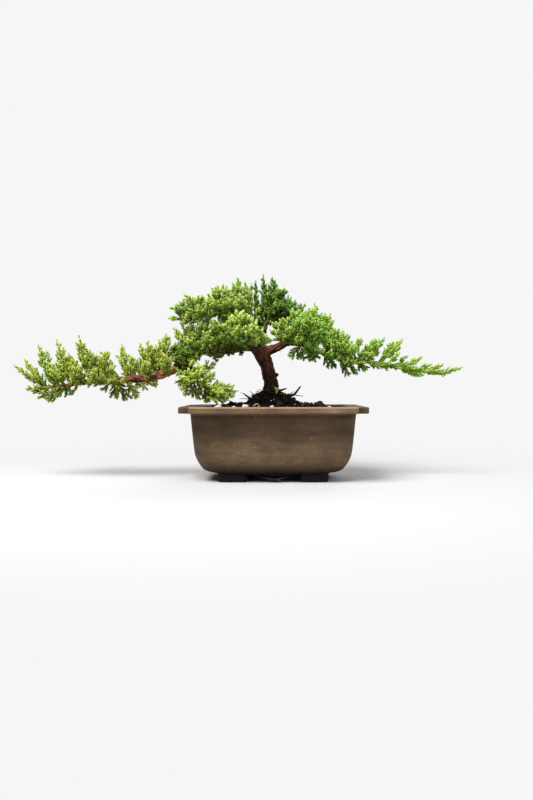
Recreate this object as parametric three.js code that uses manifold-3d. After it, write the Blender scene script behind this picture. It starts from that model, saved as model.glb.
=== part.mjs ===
// Juniper bonsai growing in an unglazed rectangular pot.
//
// Units are millimetres. X runs to the right along the pot, Y away from the
// front, Z up. Everything is worked out about the middle of the pot with its
// feet at height zero; at the end the whole part is moved so that the origin
// is the middle of the underside of its own box.

import * as THREE from "three";
import { mergeVertices } from "three/addons/utils/BufferGeometryUtils.js";
import Module from "manifold-3d";

const wasm = await Module();
wasm.setup();

// Driving dimensions of the pot
const RIM_LENGTH = 158;
const RIM_DEPTH = 118;
const POT_HEIGHT = 64;
const LIP_HEIGHT = 5.5;
const LIP_ROUNDING = 0.9;
const NOTCH = 9.2;
const NOTCH_STEP = 3.4;
const FOOT_HEIGHT = 6;
const SIDE_DIFFERENCE = 20;
const BODY_CORNER = 24;
const MOUTH_CORNER = 19;
const DRAIN_HOLE_RADIUS = 7;
const DRAIN_HOLE_X = 30;

// Half the length of the pot at each height, outside and inside
const POT_OUTSIDE = [
  [46, 6], [53, 6.6], [59.2, 8.7], [62, 11.8], [64.4, 15.6], [66.3, 20],
  [67.5, 24.5], [68.5, 33.4], [69.6, 45], [70.9, 60],
];
const POT_INSIDE = [
  [42.5, 12], [50.5, 12.8], [56.4, 15.5], [59.4, 20], [61.2, 26], [62.4, 36], [63.6, 50],
  [64.2, 62.6], [65.6, 64.6],
];

// Drain screens, anchor wire and soil
const SCREEN_THICKNESS = 1;
const SCREEN_BAR = 1;
const SCREEN_PITCH = 5.2;
const SCREEN_OPENINGS = 4;
const WIRE_RADIUS = 0.75;
const SOIL_EDGE = 59;
const SOIL_CROWN = 6.5;
const MOUND_HEIGHT = 12;
const MOUND_SPREAD = 18;
const TRUNK_FOOT = [-2.5, 0];

// Free space left between neighbouring pieces
const GAP = 0.3;

// Woody parts as stations of x, y, height and radius
const LIMBS = {
  trunk: [
    [-2, 0, 56, 10], [-2, 0, 66, 9], [-2, 0, 75.5, 7.2], [-2, 0, 82.5, 6.3], [-2.5, 0, 90.5, 5.9],
    [-5.5, 0, 100, 5.8], [-8.8, 0, 106.5, 6.8], [-12, 0, 114.5, 7.7],
  ],
  left_limb: [
    [-9.5, 0, 113, 6], [-23, 2, 118, 4.8], [-39.5, 3, 113.5, 4], [-56, 2, 113.5, 3.6], [-67.5, 0, 111, 3.6],
    [-73.5, -4, 103.5, 3.7], [-82, -7, 98, 3.7], [-95, -9, 92.3, 3.7], [-112.5, -10, 88.2, 3.8],
    [-132.5, -9, 86.8, 3.1], [-154, -8, 86, 2.4], [-174.5, -6, 83, 1.8], [-190, -4, 81.5, 1.5], [-204, -2, 80.5, 1.2],
  ],
  crown_limb: [
    [-11, 0, 114, 5.2], [-13.5, 6, 124, 4.2], [-12.5, 9, 134, 3.6], [-17, 8, 142, 3],
    [-27, 4.5, 146.6, 2.6], [-40, 0, 147.5, 2.2], [-56, -2, 146, 1.8], [-68.5, -3, 144.5, 1.4],
  ],
  apex_limb: [[-12.5, 9, 133, 3.2], [-3, 9, 141, 2.6], [3.5, 7, 148, 2.2], [6.5, 6, 155, 1.8]],
  right_limb: [
    [-7, 0, 111.5, 5], [4.5, -3, 116, 3.6], [16, -6, 120.5, 3], [29, -7, 117.5, 2.8], [43, -6, 111.5, 2.6],
    [59, -4, 106, 2.3], [77, -2, 103.5, 2], [97, 0, 101.5, 1.6], [114, 1, 98.2, 1.3], [130, 1, 94.2, 1],
  ],
  front_left_limb: [[-13.5, -2, 115, 4], [-17.5, -16, 122.5, 3], [-23, -32, 127.5, 2.2]],
  back_left_limb: [[-10, 3, 116.5, 4], [-13.5, 18, 124.5, 3], [-24, 36, 134, 2.2]],
  front_right_limb: [[14, -6, 119.5, 2.8], [22.5, -20, 125.5, 2.4], [28.5, -35, 129, 1.6]],
  back_right_limb: [[-5, 9, 139, 2.8], [7, 22, 140, 2.3], [21, 38, 137, 1.6]],
  hanging_twig: [[-74.5, -4, 103.5, 2.4], [-67, -9, 89.5, 1.8], [-58.5, -12.5, 80, 1.3]],
  knot: [[-1, -1, 91, 3], [4.2, -2, 91.5, 2.2]],
  nub: [[-6, 0, 86.5, 1], [-10.5, -1, 88.5, 0.7]],
  front_root: [[-2, -3, 73, 5], [-6, -14, 66, 3.4], [-10, -25, 59, 1.8]],
  left_root: [[-5, 0, 74, 5], [-16, -3, 67, 3.2], [-29, -6, 58, 1.6]],
  right_root: [[0, 1, 73, 5], [12, 4, 67, 3.2], [27, 9, 57, 1.6]],
  back_root: [[-3, 3, 73, 5], [-8, 14, 66, 3.2], [-12, 25, 58, 1.6]],
  left_stub: [[-13, -5, 68.5, 1.8], [-19.5, -7, 70, 1.4], [-26, -8, 75, 1]],
  right_stub: [[0, -2, 72, 3.2], [8, -5, 72.5, 2.3], [16, -6, 72, 1.8], [21, -7, 76.5, 1.4], [24.5, -7, 81.5, 1]],
  right_nub: [[2, -4, 77.5, 1.8], [9, -5, 78, 1.3], [12, -5, 79.5, 1]],
};

// Sprays of foliage, each one twig with its needles. A spray starts on a limb
// and fans out into shoots; a shoot is given by its tip and its half width.
const SPRAYS = {
  left_tip_spray: { from: [-203, -2, 80.6], shoots: [[-228, -2, 97, 7], [-215, 8, 101, 7]] },
  left_spray_1: { from: [-194, -3.4, 81.2], shoots: [[-207, -6, 115, 8.5]] },
  left_spray_2: { from: [-181, -5.2, 82.3], shoots: [[-192, -2, 121, 9.5], [-184, -32, 95, 9]] },
  left_spray_3: { from: [-164, -7, 84.6], shoots: [[-170, -9, 124, 10], [-172, 22, 99, 9]] },
  left_spray_4: { from: [-148, -8.3, 86.1], shoots: [[-149, -8, 113, 9]] },
  left_spray_5: { from: [-128, -9.2, 86.6], shoots: [[-133, -8, 118, 8.5], [-127, -38, 98, 9]] },
  left_spray_6: { from: [-111, -10, 87.8], shoots: [[-114, -12, 121, 9.5], [-116, 20, 100, 10]] },
  left_spray_7: { from: [-97, -9.2, 91.3], shoots: [[-96, -8, 127, 10], [-92, -34, 104, 9]] },
  left_spray_8: { from: [-83, -7.2, 97.4], shoots: [[-80, -8, 125, 11]] },
  left_under_spray_1: { from: [-190, -4, 81.5], shoots: [[-212, -11, 74, 8]] },
  left_under_spray_2: { from: [-142, -8.6, 86.2], shoots: [[-121, -12, 74, 9]] },
  hanging_spray_1: { from: [-73, -5, 101], shoots: [[-70, -14, 69, 14]] },
  hanging_spray_2: { from: [-60, -12, 81.5], shoots: [[-31, -20, 76, 9]] },
  small_spray: { from: [-54, 2, 113.5], shoots: [[-48, -1, 101, 4.5]] },
  left_pad_1: { from: [-60, 1.5, 113], shoots: [[-87, -8, 129, 13]] },
  left_pad_2: { from: [-47, 2.6, 113.5], shoots: [[-60, -22, 138, 14]] },
  left_pad_3: { from: [-33, 2.7, 115.5], shoots: [[-40, -24, 140, 13]] },
  left_pad_4: { from: [-52, 2.2, 113.5], shoots: [[-66, 34, 130, 14]] },
  crown_tip_spray: { from: [-67, -2.9, 144.7], shoots: [[-90, -4, 140, 8], [-78, -6, 162, 11]] },
  crown_spray_1: { from: [-55, -1.9, 146.1], shoots: [[-60, -10, 168, 12]] },
  crown_spray_2: { from: [-42, -0.2, 147.4], shoots: [[-48, -4, 173, 12]] },
  crown_spray_3: { from: [-27, 4.5, 146.6], shoots: [[-34, 0, 180, 11], [-21, 8, 174, 8]] },
  crown_spray_4: { from: [-46, -0.8, 147.2], shoots: [[-52, 28, 158, 13]] },
  apex_spray_1: { from: [-6, 9, 138.5], shoots: [[-9, 6, 180, 10]] },
  apex_spray_2: { from: [6, 6.3, 153.5], shoots: [[2, 5, 179, 10], [17, 2, 167, 10]] },
  apex_spray_3: { from: [1.5, 7.6, 146], shoots: [[24, 0, 151, 11], [8, 34, 158, 11]] },
  front_spray_1: { from: [-22.4, -30.5, 127.2], shoots: [[-41, -58, 129, 12]] },
  front_spray_2: { from: [-20.5, -24.5, 125.6], shoots: [[-19, -48, 143, 13]] },
  front_spray_3: { from: [-18, -17.5, 123.1], shoots: [[0, -42, 119, 9]] },
  front_spray_4: { from: [28, -33.5, 128.7], shoots: [[52, -50, 115, 13]] },
  front_spray_5: { from: [21, -17.5, 124.5], shoots: [[19, -45, 145, 14]] },
  front_spray_6: { from: [17, -11, 121.6], shoots: [[1, -31, 130, 9]] },
  back_spray_1: { from: [-23, 34.5, 133.2], shoots: [[-49, 62, 154, 15]] },
  back_spray_2: { from: [-15.5, 22, 126.7], shoots: [[-11, 54, 157, 15]] },
  back_spray_3: { from: [20, 36.8, 136.6], shoots: [[48, 62, 149, 15]] },
  back_spray_4: { from: [7.5, 22.6, 139.9], shoots: [[19, 46, 160, 13]] },
  right_spray_1: { from: [29, -7, 117.5], shoots: [[39, -6, 154, 14]] },
  right_spray_2: { from: [43, -6, 111.5], shoots: [[54, -2, 144, 13]] },
  right_spray_3: { from: [60, -3.9, 105.8], shoots: [[66, -4, 132, 10], [79, -6, 127, 9], [72, 24, 117, 11]] },
  right_spray_4: { from: [84, -1.2, 103], shoots: [[99, -2, 126, 8], [88, 22, 112, 8]] },
  right_spray_5: { from: [101, 0.2, 100.8], shoots: [[118, 1, 122, 7]] },
  right_under_spray_1: { from: [32, -6.8, 116.4], shoots: [[18, -11, 105, 8]] },
  right_under_spray_2: { from: [50, -5.3, 109], shoots: [[67, -6, 91, 7.5]] },
  right_tip_spray: { from: [118, 1, 97.3], shoots: [[168, 2, 97.5, 6], [132, 0, 109, 5.5]] },
};

// Pale stones and bark chips: x, y, height of the top, then the three sizes
const STONES = {
  stone_1: [-46.4, -38, 66.2, 8, 6.5, 6.5],
  stone_2: [-33.4, -38.8, 64.7, 5.5, 5, 5],
  stone_3: [-23.6, -38, 66, 6, 5.5, 6],
  stone_4: [-1.2, -38.8, 65.3, 4.2, 4, 4.5],
  stone_5: [47.4, -35.5, 65.1, 4.6, 4.4, 4.8],
};
const CHIPS = {
  bark_chip_1: [38.6, -24, 69.6, 8, 6.5, 9.5],
  bark_chip_2: [29.5, -22, 68.1, 6, 5, 7],
  bark_chip_3: [5.4, -24, 69.4, 8, 5, 7],
};

// Colours, roughness and metalness
const LOOKS = {
  fired_clay: { color: 0x6a5a45, roughness: 0.72, metalness: 0 },
  potting_soil: { color: 0x241a16, roughness: 0.95, metalness: 0 },
  bark: { color: 0x6b4030, roughness: 0.9, metalness: 0 },
  loose_bark: { color: 0x3a2620, roughness: 0.92, metalness: 0 },
  juniper_green: { color: 0x6f8a36, roughness: 0.7, metalness: 0 },
  dry_shoot: { color: 0xb5b25c, roughness: 0.75, metalness: 0 },
  pale_stone: { color: 0xd9cfc6, roughness: 0.85, metalness: 0 },
  dark_wire: { color: 0x1d1d20, roughness: 0.45, metalness: 0.8 },
  black_plastic: { color: 0x17181a, roughness: 0.5, metalness: 0 },
};

// Turning geometry into closed bodies and back

function toSolid(geometry) {
  const plain = new THREE.BufferGeometry();
  plain.setAttribute("position", geometry.getAttribute("position").clone());
  if (geometry.index) plain.setIndex(geometry.index.clone());
  const merged = mergeVertices(plain, 1e-4);
  const index = merged.index.array;
  const place = merged.getAttribute("position");
  const corners = [];
  let sixVolumes = 0;
  const [a, b, c] = [new THREE.Vector3(), new THREE.Vector3(), new THREE.Vector3()];
  for (let i = 0; i < index.length; i += 3) {
    const [p, q, r] = [index[i], index[i + 1], index[i + 2]];
    if (p === q || q === r || r === p) continue;
    corners.push(p, q, r);
    a.fromBufferAttribute(place, p);
    b.fromBufferAttribute(place, q);
    c.fromBufferAttribute(place, r);
    sixVolumes += a.dot(b.cross(c));
  }
  if (sixVolumes < 0) corners.reverse();
  const vertProperties = Float32Array.from(place.array);
  const triVerts = Uint32Array.from(corners);
  return new wasm.Manifold(new wasm.Mesh({ numProp: 3, vertProperties, triVerts }));
}

function toGeometry(solid) {
  const mesh = solid.getMesh();
  const geometry = new THREE.BufferGeometry();
  geometry.setAttribute("position", new THREE.BufferAttribute(Float32Array.from(mesh.vertProperties), 3));
  geometry.setIndex(new THREE.BufferAttribute(Uint32Array.from(mesh.triVerts), 1));
  geometry.computeVertexNormals();
  return geometry;
}

function join(solids) {
  return solids.reduce((whole, solid) => whole.add(solid));
}

function largestBody(solid) {
  return solid.decompose().sort((a, b) => b.volume() - a.volume())[0];
}

function boxesMeet(a, b) {
  const [p, q] = [a.boundingBox(), b.boundingBox()];
  return [0, 1, 2].every((i) => p.min[i] < q.max[i] && q.min[i] < p.max[i]);
}

// Basic shapes

// A closed skin over a stack of rings that all have the same number of points
function skin(rings) {
  const count = rings[0].length;
  const points = rings.flat();
  const faces = [];
  for (let level = 0; level + 1 < rings.length; level++) {
    for (let i = 0; i < count; i++) {
      const [a, b] = [level * count + i, level * count + (i + 1) % count];
      faces.push(a, b, b + count, a, b + count, a + count);
    }
  }
  for (const level of [0, rings.length - 1]) {
    const middle = points.length;
    const ring = rings[level];
    points.push([0, 1, 2].map((axis) => ring.reduce((sum, point) => sum + point[axis], 0) / count));
    for (let i = 0; i < count; i++) {
      const [a, b] = [level * count + i, level * count + (i + 1) % count];
      if (level === 0) faces.push(middle, b, a);
      else faces.push(middle, a, b);
    }
  }
  const geometry = new THREE.BufferGeometry();
  geometry.setAttribute("position", new THREE.Float32BufferAttribute(points.flat(), 3));
  geometry.setIndex(faces);
  return geometry;
}

// A ring round a rectangle with rounded corners
function roundedRing(halfLength, halfDepth, corner, z, steps = 5) {
  const ring = [];
  for (let quarter = 0; quarter < 4; quarter++) {
    const right = quarter === 0 || quarter === 3 ? 1 : -1;
    const back = quarter < 2 ? 1 : -1;
    for (let i = 0; i <= steps; i++) {
      const angle = (quarter + i / steps) * Math.PI / 2;
      const x = right * (halfLength - corner) + corner * Math.cos(angle);
      const y = back * (halfDepth - corner) + corner * Math.sin(angle);
      ring.push([x, y, z]);
    }
  }
  return ring;
}

// A closed rod that follows a curve: a lathe profile bent along it.
// widthAt gives the radius from one end (0) to the other (1).
function rod(curve, widthAt, sides, rings, gap = 0, ridges = 0) {
  const profile = [new THREE.Vector2(0, -1)];
  for (let i = 0; i <= rings; i++) profile.push(new THREE.Vector2(1, i));
  profile.push(new THREE.Vector2(0, rings + 1));
  const geometry = new THREE.LatheGeometry(profile, sides);
  const frames = curve.computeFrenetFrames(rings, false);
  const place = geometry.getAttribute("position");
  const point = new THREE.Vector3();
  for (let i = 0; i < place.count; i++) {
    const [across, level, along] = [place.getX(i), place.getY(i), place.getZ(i)];
    const ring = THREE.MathUtils.clamp(Math.round(level), 0, rings);
    const width = widthAt(ring / rings);
    curve.getPointAt(ring / rings, point);
    const side = Math.round(Math.atan2(across, along) / (2 * Math.PI) * sides);
    const ridge = (side + ring) % 2 === 0 ? 1 + ridges : 1 - ridges;
    point.addScaledVector(frames.normals[ring], across * (width * ridge + gap));
    point.addScaledVector(frames.binormals[ring], along * (width * ridge + gap));
    if (level < 0) point.addScaledVector(frames.tangents[0], -0.4 * width - gap);
    if (level > rings) point.addScaledVector(frames.tangents[rings], 0.7 * width + gap);
    place.setXYZ(i, point.x, point.y, point.z);
  }
  return toSolid(geometry);
}

function smoothPath(stations) {
  const points = stations.map(([x, y, z]) => new THREE.Vector3(x, y, z));
  return new THREE.CatmullRomCurve3(points, false, "centripetal");
}

// A woody limb through its stations
function limb(stations, gap) {
  const path = smoothPath(stations);
  const widest = Math.max(...stations.map((station) => station[3]));
  const widthAt = (along) => {
    const step = path.getUtoTmapping(along) * (stations.length - 1);
    const i = Math.min(Math.floor(step), stations.length - 2);
    return THREE.MathUtils.lerp(stations[i][3], stations[i + 1][3], step - i);
  };
  const sides = widest > 6.5 ? 12 : widest > 3.5 ? 8 : 6;
  const rings = Math.max(2, Math.round(path.getLength() / (6 + widest)));
  return rod(path, widthAt, sides, rings, gap, widest > 5.5 ? 0.02 : 0);
}

// The curve of a shoot: it leaves its limb and turns a little upwards
function shootPath(from, tip) {
  const [start, end] = [new THREE.Vector3(...from), new THREE.Vector3(...tip.slice(0, 3))];
  const middle = start.clone().lerp(end, 0.5);
  middle.z -= 0.07 * Math.hypot(end.x - start.x, end.y - start.y);
  return new THREE.CatmullRomCurve3([start, middle, end]);
}

// The body of one shoot: a twig at the limb, full below the middle, pointed
const SHOOT_SHAPE = [0.16, 0.9, 1, 0.66, 0.24];

function shoot(from, tip, gap = 0) {
  const rings = SHOOT_SHAPE.length - 1;
  const path = shootPath(from, tip);
  return rod(path, (along) => tip[3] * SHOOT_SHAPE[Math.round(along * rings)], 6, rings, gap, 0.1);
}

// The pot

function potLevels(levels, corner) {
  return levels.map(([half, z]) => roundedRing(half, half - SIDE_DIFFERENCE, corner, z));
}

function lipOutline() {
  const [right, back] = [RIM_LENGTH / 2, RIM_DEPTH / 2];
  const outline = new THREE.Shape();
  const corners = [[1, 1], [-1, 1], [-1, -1], [1, -1]];
  corners.forEach(([sx, sy], i) => {
    const ends = [
      [right, back - NOTCH], [right - NOTCH_STEP, back - NOTCH],
      [right - NOTCH, back - NOTCH_STEP], [right - NOTCH, back],
    ];
    const order = sx * sy > 0 ? ends : [...ends].reverse();
    const [first, second, third, fourth] = order.map(([x, y]) => [sx * x, sy * y]);
    if (i === 0) outline.moveTo(...first);
    else outline.lineTo(...first);
    outline.lineTo(...second);
    const inner = [sx * (right - NOTCH + 0.8), sy * (back - NOTCH + 0.8)];
    outline.quadraticCurveTo(...inner, ...third);
    outline.lineTo(...fourth);
  });
  outline.closePath();
  return outline;
}

function footOutline(sx, sy) {
  const corners = [[23, 36], [23, 27], [37, 27], [37, 14], [47, 14], [47, 32.5], [44, 36]];
  return new THREE.Shape(corners.map(([x, y]) => new THREE.Vector2(sx * x, sy * y)));
}

function buildPot() {
  const lip = new THREE.ExtrudeGeometry(lipOutline(), {
    depth: LIP_HEIGHT - 2 * LIP_ROUNDING, curveSegments: 6, bevelEnabled: true,
    bevelThickness: LIP_ROUNDING, bevelSize: LIP_ROUNDING, bevelOffset: -LIP_ROUNDING, bevelSegments: 2,
  });
  lip.translate(0, 0, POT_HEIGHT - LIP_HEIGHT + LIP_ROUNDING);
  const feet = [[1, 1], [-1, 1], [-1, -1], [1, -1]].map(([sx, sy]) => {
    const foot = new THREE.ExtrudeGeometry(footOutline(sx, sy), { depth: FOOT_HEIGHT + 3.5, bevelEnabled: false });
    return toSolid(foot);
  });
  const outside = toSolid(skin(potLevels(POT_OUTSIDE, BODY_CORNER)));
  const inside = toSolid(skin(potLevels(POT_INSIDE, MOUTH_CORNER)));
  const holes = [-DRAIN_HOLE_X, DRAIN_HOLE_X].map((x) => {
    const hole = new THREE.CylinderGeometry(DRAIN_HOLE_RADIUS, DRAIN_HOLE_RADIUS, 12, 24);
    hole.rotateX(Math.PI / 2).translate(x, 0, 9);
    return toSolid(hole);
  });
  return join([outside, toSolid(lip), ...feet]).subtract(inside).subtract(join(holes));
}

// Screens over the drain holes

const SCREEN_SIZE = SCREEN_OPENINGS * SCREEN_PITCH + SCREEN_BAR;
const SCREEN_BOTTOM = POT_INSIDE[0][1] + GAP;

function buildScreen(x) {
  const corner = (SCREEN_PITCH + SCREEN_BAR - SCREEN_SIZE) / 2;
  const block = (size, height) => new THREE.BoxGeometry(size, size, height);
  const height = SCREEN_BOTTOM + SCREEN_THICKNESS / 2;
  const openings = [];
  for (let i = 0; i < SCREEN_OPENINGS; i++) {
    for (let j = 0; j < SCREEN_OPENINGS; j++) {
      const opening = block(SCREEN_PITCH - SCREEN_BAR, 3 * SCREEN_THICKNESS);
      opening.translate(x + corner + i * SCREEN_PITCH, corner + j * SCREEN_PITCH, height);
      openings.push(toSolid(opening));
    }
  }
  return toSolid(block(SCREEN_SIZE, SCREEN_THICKNESS).translate(x, 0, height)).subtract(join(openings));
}

function screenRoom(x) {
  const size = SCREEN_SIZE + 2 * GAP;
  const box = new THREE.BoxGeometry(size, size, SCREEN_THICKNESS + 2 * GAP + 0.4);
  return toSolid(box.translate(x, 0, SCREEN_BOTTOM + SCREEN_THICKNESS / 2 - 0.2));
}

// Wire that ties the root ball down: out of one drain hole, round under the
// front of the pot and up the other, with a twisted tail in the middle

function buildWire(gap = 0) {
  const half = [[27.4, 2.6, 30], [27.4, 2.6, 22], [27.4, 2.6, 11], [26.5, -2, 5.4], [20, -19, 4.6], [14.5, -30, 4.6]];
  const middle = [[7, -35, 3.6], [0, -36.5, 2.8]];
  const right = [...half, middle[0]];
  const left = right.map(([x, y, z]) => [-x, y, z]).reverse();
  const path = smoothPath([...right, middle[1], ...left]);
  const tail = smoothPath([[-5, -34, 3.6], [0, -37, 3.4], [6, -39.5, 2.2]]);
  const width = () => WIRE_RADIUS;
  return rod(path, width, 6, 30, gap).add(rod(tail, () => 0.6, 6, 2, gap));
}

// Wood: trunk, roots and limbs, grown as one

function buildWood(gap = 0) {
  return join(Object.values(LIMBS).map((stations) => limb(stations, gap)));
}

// Soil

function soilHeight(x, y) {
  const edge = (Math.abs(x / 63.7) ** 4 + Math.abs(y / 43.7) ** 4) ** 0.25;
  const away = Math.hypot(x - TRUNK_FOOT[0], y - TRUNK_FOOT[1]);
  const mound = MOUND_HEIGHT * Math.exp(-((away / MOUND_SPREAD) ** 2.4));
  const ripple = 0.45 * Math.sin(0.31 * x + 1) * Math.cos(0.27 * y) * (1 - edge);
  return SOIL_EDGE + SOIL_CROWN * (1 - edge ** 3) + mound + ripple;
}

function buildSoil() {
  const levels = POT_INSIDE.filter(([, z]) => z < SOIL_EDGE - 5).map(([half, z]) => [half - GAP, z + GAP]);
  const edge = roundedRing(63.9 - GAP, 43.9 - GAP, MOUTH_CORNER - GAP, SOIL_EDGE);
  const sides = levels.map(([half, z]) => roundedRing(half, half - SIDE_DIFFERENCE, MOUTH_CORNER - GAP, z));
  const top = [0.93, 0.82, 0.68, 0.54, 0.41, 0.3, 0.21, 0.1].map((scale) => edge.map(([x, y]) => {
    const px = TRUNK_FOOT[0] + (x - TRUNK_FOOT[0]) * scale;
    const py = TRUNK_FOOT[1] + (y - TRUNK_FOOT[1]) * scale;
    return [px, py, soilHeight(px, py)];
  }));
  return toSolid(skin([...sides, edge, ...top]));
}

// Small things lying on the soil

function pebble([x, y, top, length, depth, height], gap = 0, corners = 1, turn = 0.4) {
  const stone = corners ? new THREE.IcosahedronGeometry(1, 1) : new THREE.DodecahedronGeometry(1, 0);
  const place = stone.getAttribute("position");
  const point = new THREE.Vector3();
  for (let i = 0; i < place.count; i++) {
    point.fromBufferAttribute(place, i).normalize();
    const lump = 1 + 0.09 * Math.sin(3.1 * point.x + x) * Math.cos(2.7 * point.y + y) + 0.06 * Math.sin(4.3 * point.z);
    place.setXYZ(i, point.x * lump, point.y * lump, point.z * lump);
  }
  stone.rotateZ(turn + x).scale(length / 2 + gap, depth / 2 + gap, height / 2 + gap);
  return toSolid(stone.translate(x, y, top - height / 2));
}

function fallenShoot(gap = 0) {
  const path = smoothPath([
    [-17.8, -38.7, 61.8], [-16.6, -38.9, 65], [-14, -38.9, 66.4], [-11.5, -38.5, 65.2], [-10.4, -37.5, 61.8],
  ]);
  return rod(path, (along) => 0.8 + 0.5 * Math.sin(Math.PI * along), 8, 8, gap, 0.08);
}

function seedling(gap = 0) {
  const path = smoothPath([[2.2, -9.5, 71], [2.6, -9.9, 76], [3.4, -10.2, 81]]);
  return rod(path, (along) => 1.5 - 0.9 * along, 8, 4, gap, 0.12);
}

// Putting the part together

const part = new THREE.Group();
part.name = "juniper_bonsai";
const materials = {};
for (const [name, look] of Object.entries(LOOKS)) {
  materials[name] = new THREE.MeshStandardMaterial(look);
  materials[name].name = name;
}

function addPiece(name, look, solid) {
  const mesh = new THREE.Mesh(toGeometry(solid), materials[look]);
  mesh.name = name;
  part.add(mesh);
}

addPiece("pot", "fired_clay", buildPot());
addPiece("drain_screen_left", "black_plastic", buildScreen(-DRAIN_HOLE_X));
addPiece("drain_screen_right", "black_plastic", buildScreen(DRAIN_HOLE_X));
addPiece("anchor_wire", "dark_wire", buildWire());
addPiece("tree_wood", "bark", buildWood());

const woodRoom = buildWood(GAP);
const litter = {};
for (const [name, shape] of Object.entries(STONES)) {
  litter[name] = { look: "pale_stone", solid: pebble(shape), room: pebble(shape, GAP) };
}
for (const [name, shape] of Object.entries(CHIPS)) {
  litter[name] = { look: "loose_bark", solid: pebble(shape, 0, 0), room: pebble(shape, GAP, 0) };
}
litter.fallen_shoot = { look: "dry_shoot", solid: fallenShoot(), room: fallenShoot(GAP) };
litter.seedling = { look: "juniper_green", solid: seedling(), room: seedling(GAP) };

const rooms = Object.values(litter).map(({ room }) => room);
const screenRooms = [-DRAIN_HOLE_X, DRAIN_HOLE_X].map(screenRoom);
const soilRooms = join([woodRoom, buildWire(GAP), ...screenRooms, ...rooms]);
addPiece("soil", "potting_soil", largestBody(buildSoil().subtract(soilRooms)));
for (const [name, { look, solid }] of Object.entries(litter)) {
  addPiece(name, look, largestBody(solid.subtract(woodRoom)));
}

const placed = [];
for (const [name, { from, shoots }] of Object.entries(SPRAYS)) {
  let spray = join(shoots.map((tip) => shoot(from, tip))).subtract(woodRoom);
  for (const earlier of placed) if (boxesMeet(earlier, spray)) spray = spray.subtract(earlier);
  addPiece(name, "juniper_green", largestBody(spray));
  placed.push(join(shoots.map((tip) => shoot(from, tip, GAP))));
}

const box = new THREE.Box3().setFromObject(part);
const middle = box.getCenter(new THREE.Vector3());
for (const mesh of part.children) mesh.geometry.translate(-middle.x, -middle.y, -box.min.z);

export default part;
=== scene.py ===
# Juniper bonsai: the looks of the tree, its soil and its pot, built round the CAD frame.
# Pieces are worked out in millimetres about the middle of the pot, with the feet at height zero.

import math

import bmesh
import bpy
import numpy as np
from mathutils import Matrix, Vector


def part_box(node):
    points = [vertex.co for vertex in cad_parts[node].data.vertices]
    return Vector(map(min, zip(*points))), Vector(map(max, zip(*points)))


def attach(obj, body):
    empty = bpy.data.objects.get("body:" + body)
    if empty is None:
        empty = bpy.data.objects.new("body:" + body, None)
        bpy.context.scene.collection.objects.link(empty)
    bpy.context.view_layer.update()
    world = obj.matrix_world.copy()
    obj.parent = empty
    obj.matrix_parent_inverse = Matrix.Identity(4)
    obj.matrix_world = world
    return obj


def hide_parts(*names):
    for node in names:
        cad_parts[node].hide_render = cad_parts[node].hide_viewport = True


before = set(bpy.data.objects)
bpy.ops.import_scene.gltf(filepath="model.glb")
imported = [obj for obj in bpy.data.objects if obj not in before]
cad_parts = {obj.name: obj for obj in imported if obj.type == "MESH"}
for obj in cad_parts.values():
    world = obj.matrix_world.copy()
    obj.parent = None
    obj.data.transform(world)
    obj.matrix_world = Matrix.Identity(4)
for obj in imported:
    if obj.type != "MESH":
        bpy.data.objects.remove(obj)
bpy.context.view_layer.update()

pot_low, pot_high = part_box("pot")
POT_MIDDLE = ((pot_low.x + pot_high.x) / 2, (pot_low.y + pot_high.y) / 2, 0)
FULL_TURN = 2 * math.pi
GOLDEN_ANGLE = math.pi * (3 - math.sqrt(5))


# Points, noise and lines

def metres(points):
    return np.asarray(points, float) / 1000 + POT_MIDDLE


def unit(vectors):
    return vectors / np.maximum(np.linalg.norm(vectors, axis=-1, keepdims=True), 1e-9)


def across(ways):
    """Two directions square to each way and to each other."""
    helper = np.where(np.abs(ways[..., 2:]) > 0.8, (1.0, 0.1, 0.0), (0.1, 0.2, 1.0))
    side = unit(np.cross(ways, helper))
    return side, np.cross(side, ways)


def bend(a, b, c, t):
    """The point at share t of a curve that runs from a to c and is pulled towards b."""
    return (1 - t) ** 2 * a + 2 * (1 - t) * t * b + t * t * c


def dice_at(cells, seed):
    """A fixed random number from 0 to 1 for each whole-numbered cell."""
    x, y, z = (cells[..., i].astype(np.uint64) for i in range(3))
    mixed = x * np.uint64(374761393) + y * np.uint64(668265263) + z * np.uint64(2147483647)
    mixed = (mixed + np.uint64(seed * 7919)) & np.uint64(0xFFFFFFFF)
    mixed = ((mixed ^ (mixed >> np.uint64(13))) * np.uint64(1274126177)) & np.uint64(0xFFFFFFFF)
    return ((mixed ^ (mixed >> np.uint64(16))) & np.uint64(0xFFFF)).astype(float) / 0xFFFF


def lumps(points, size, seed):
    """Smooth noise from 0 to 1 with lumps of about this size in millimetres."""
    at = np.asarray(points, float) / size
    low = np.floor(at).astype(np.int64)
    part = at - low
    part = part * part * (3 - 2 * part)
    total = 0
    for corner in np.ndindex(2, 2, 2):
        weight = np.prod(np.where(corner, part, 1 - part), axis=-1)
        total = total + weight * dice_at(low + corner, seed)
    return total


def rough(points, size, layers, seed):
    """Noise from 0 to 1 in layers, each half as large and half as strong as the one before."""
    total, strength = 0, 0
    for layer in range(layers):
        total = total + lumps(points, size / 2 ** layer, seed + layer) / 2 ** layer
        strength += 1 / 2 ** layer
    return total / strength


def smooth_line(stations, steps):
    """A flowing line through stations; each may carry more numbers after x, y and z."""
    stations = np.asarray(stations, float)
    line = []
    for i in range(len(stations) - 1):
        before, here = stations[max(i - 1, 0)], stations[i]
        there, after = stations[i + 1], stations[min(i + 2, len(stations) - 1)]
        for t in np.linspace(0, 1, steps, endpoint=False):
            line.append(0.5 * (2 * here + (there - before) * t
                               + (2 * before - 5 * here + 4 * there - after) * t ** 2
                               + (3 * here - before - 3 * there + after) * t ** 3))
    return np.array(line + [stations[-1]])


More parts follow.
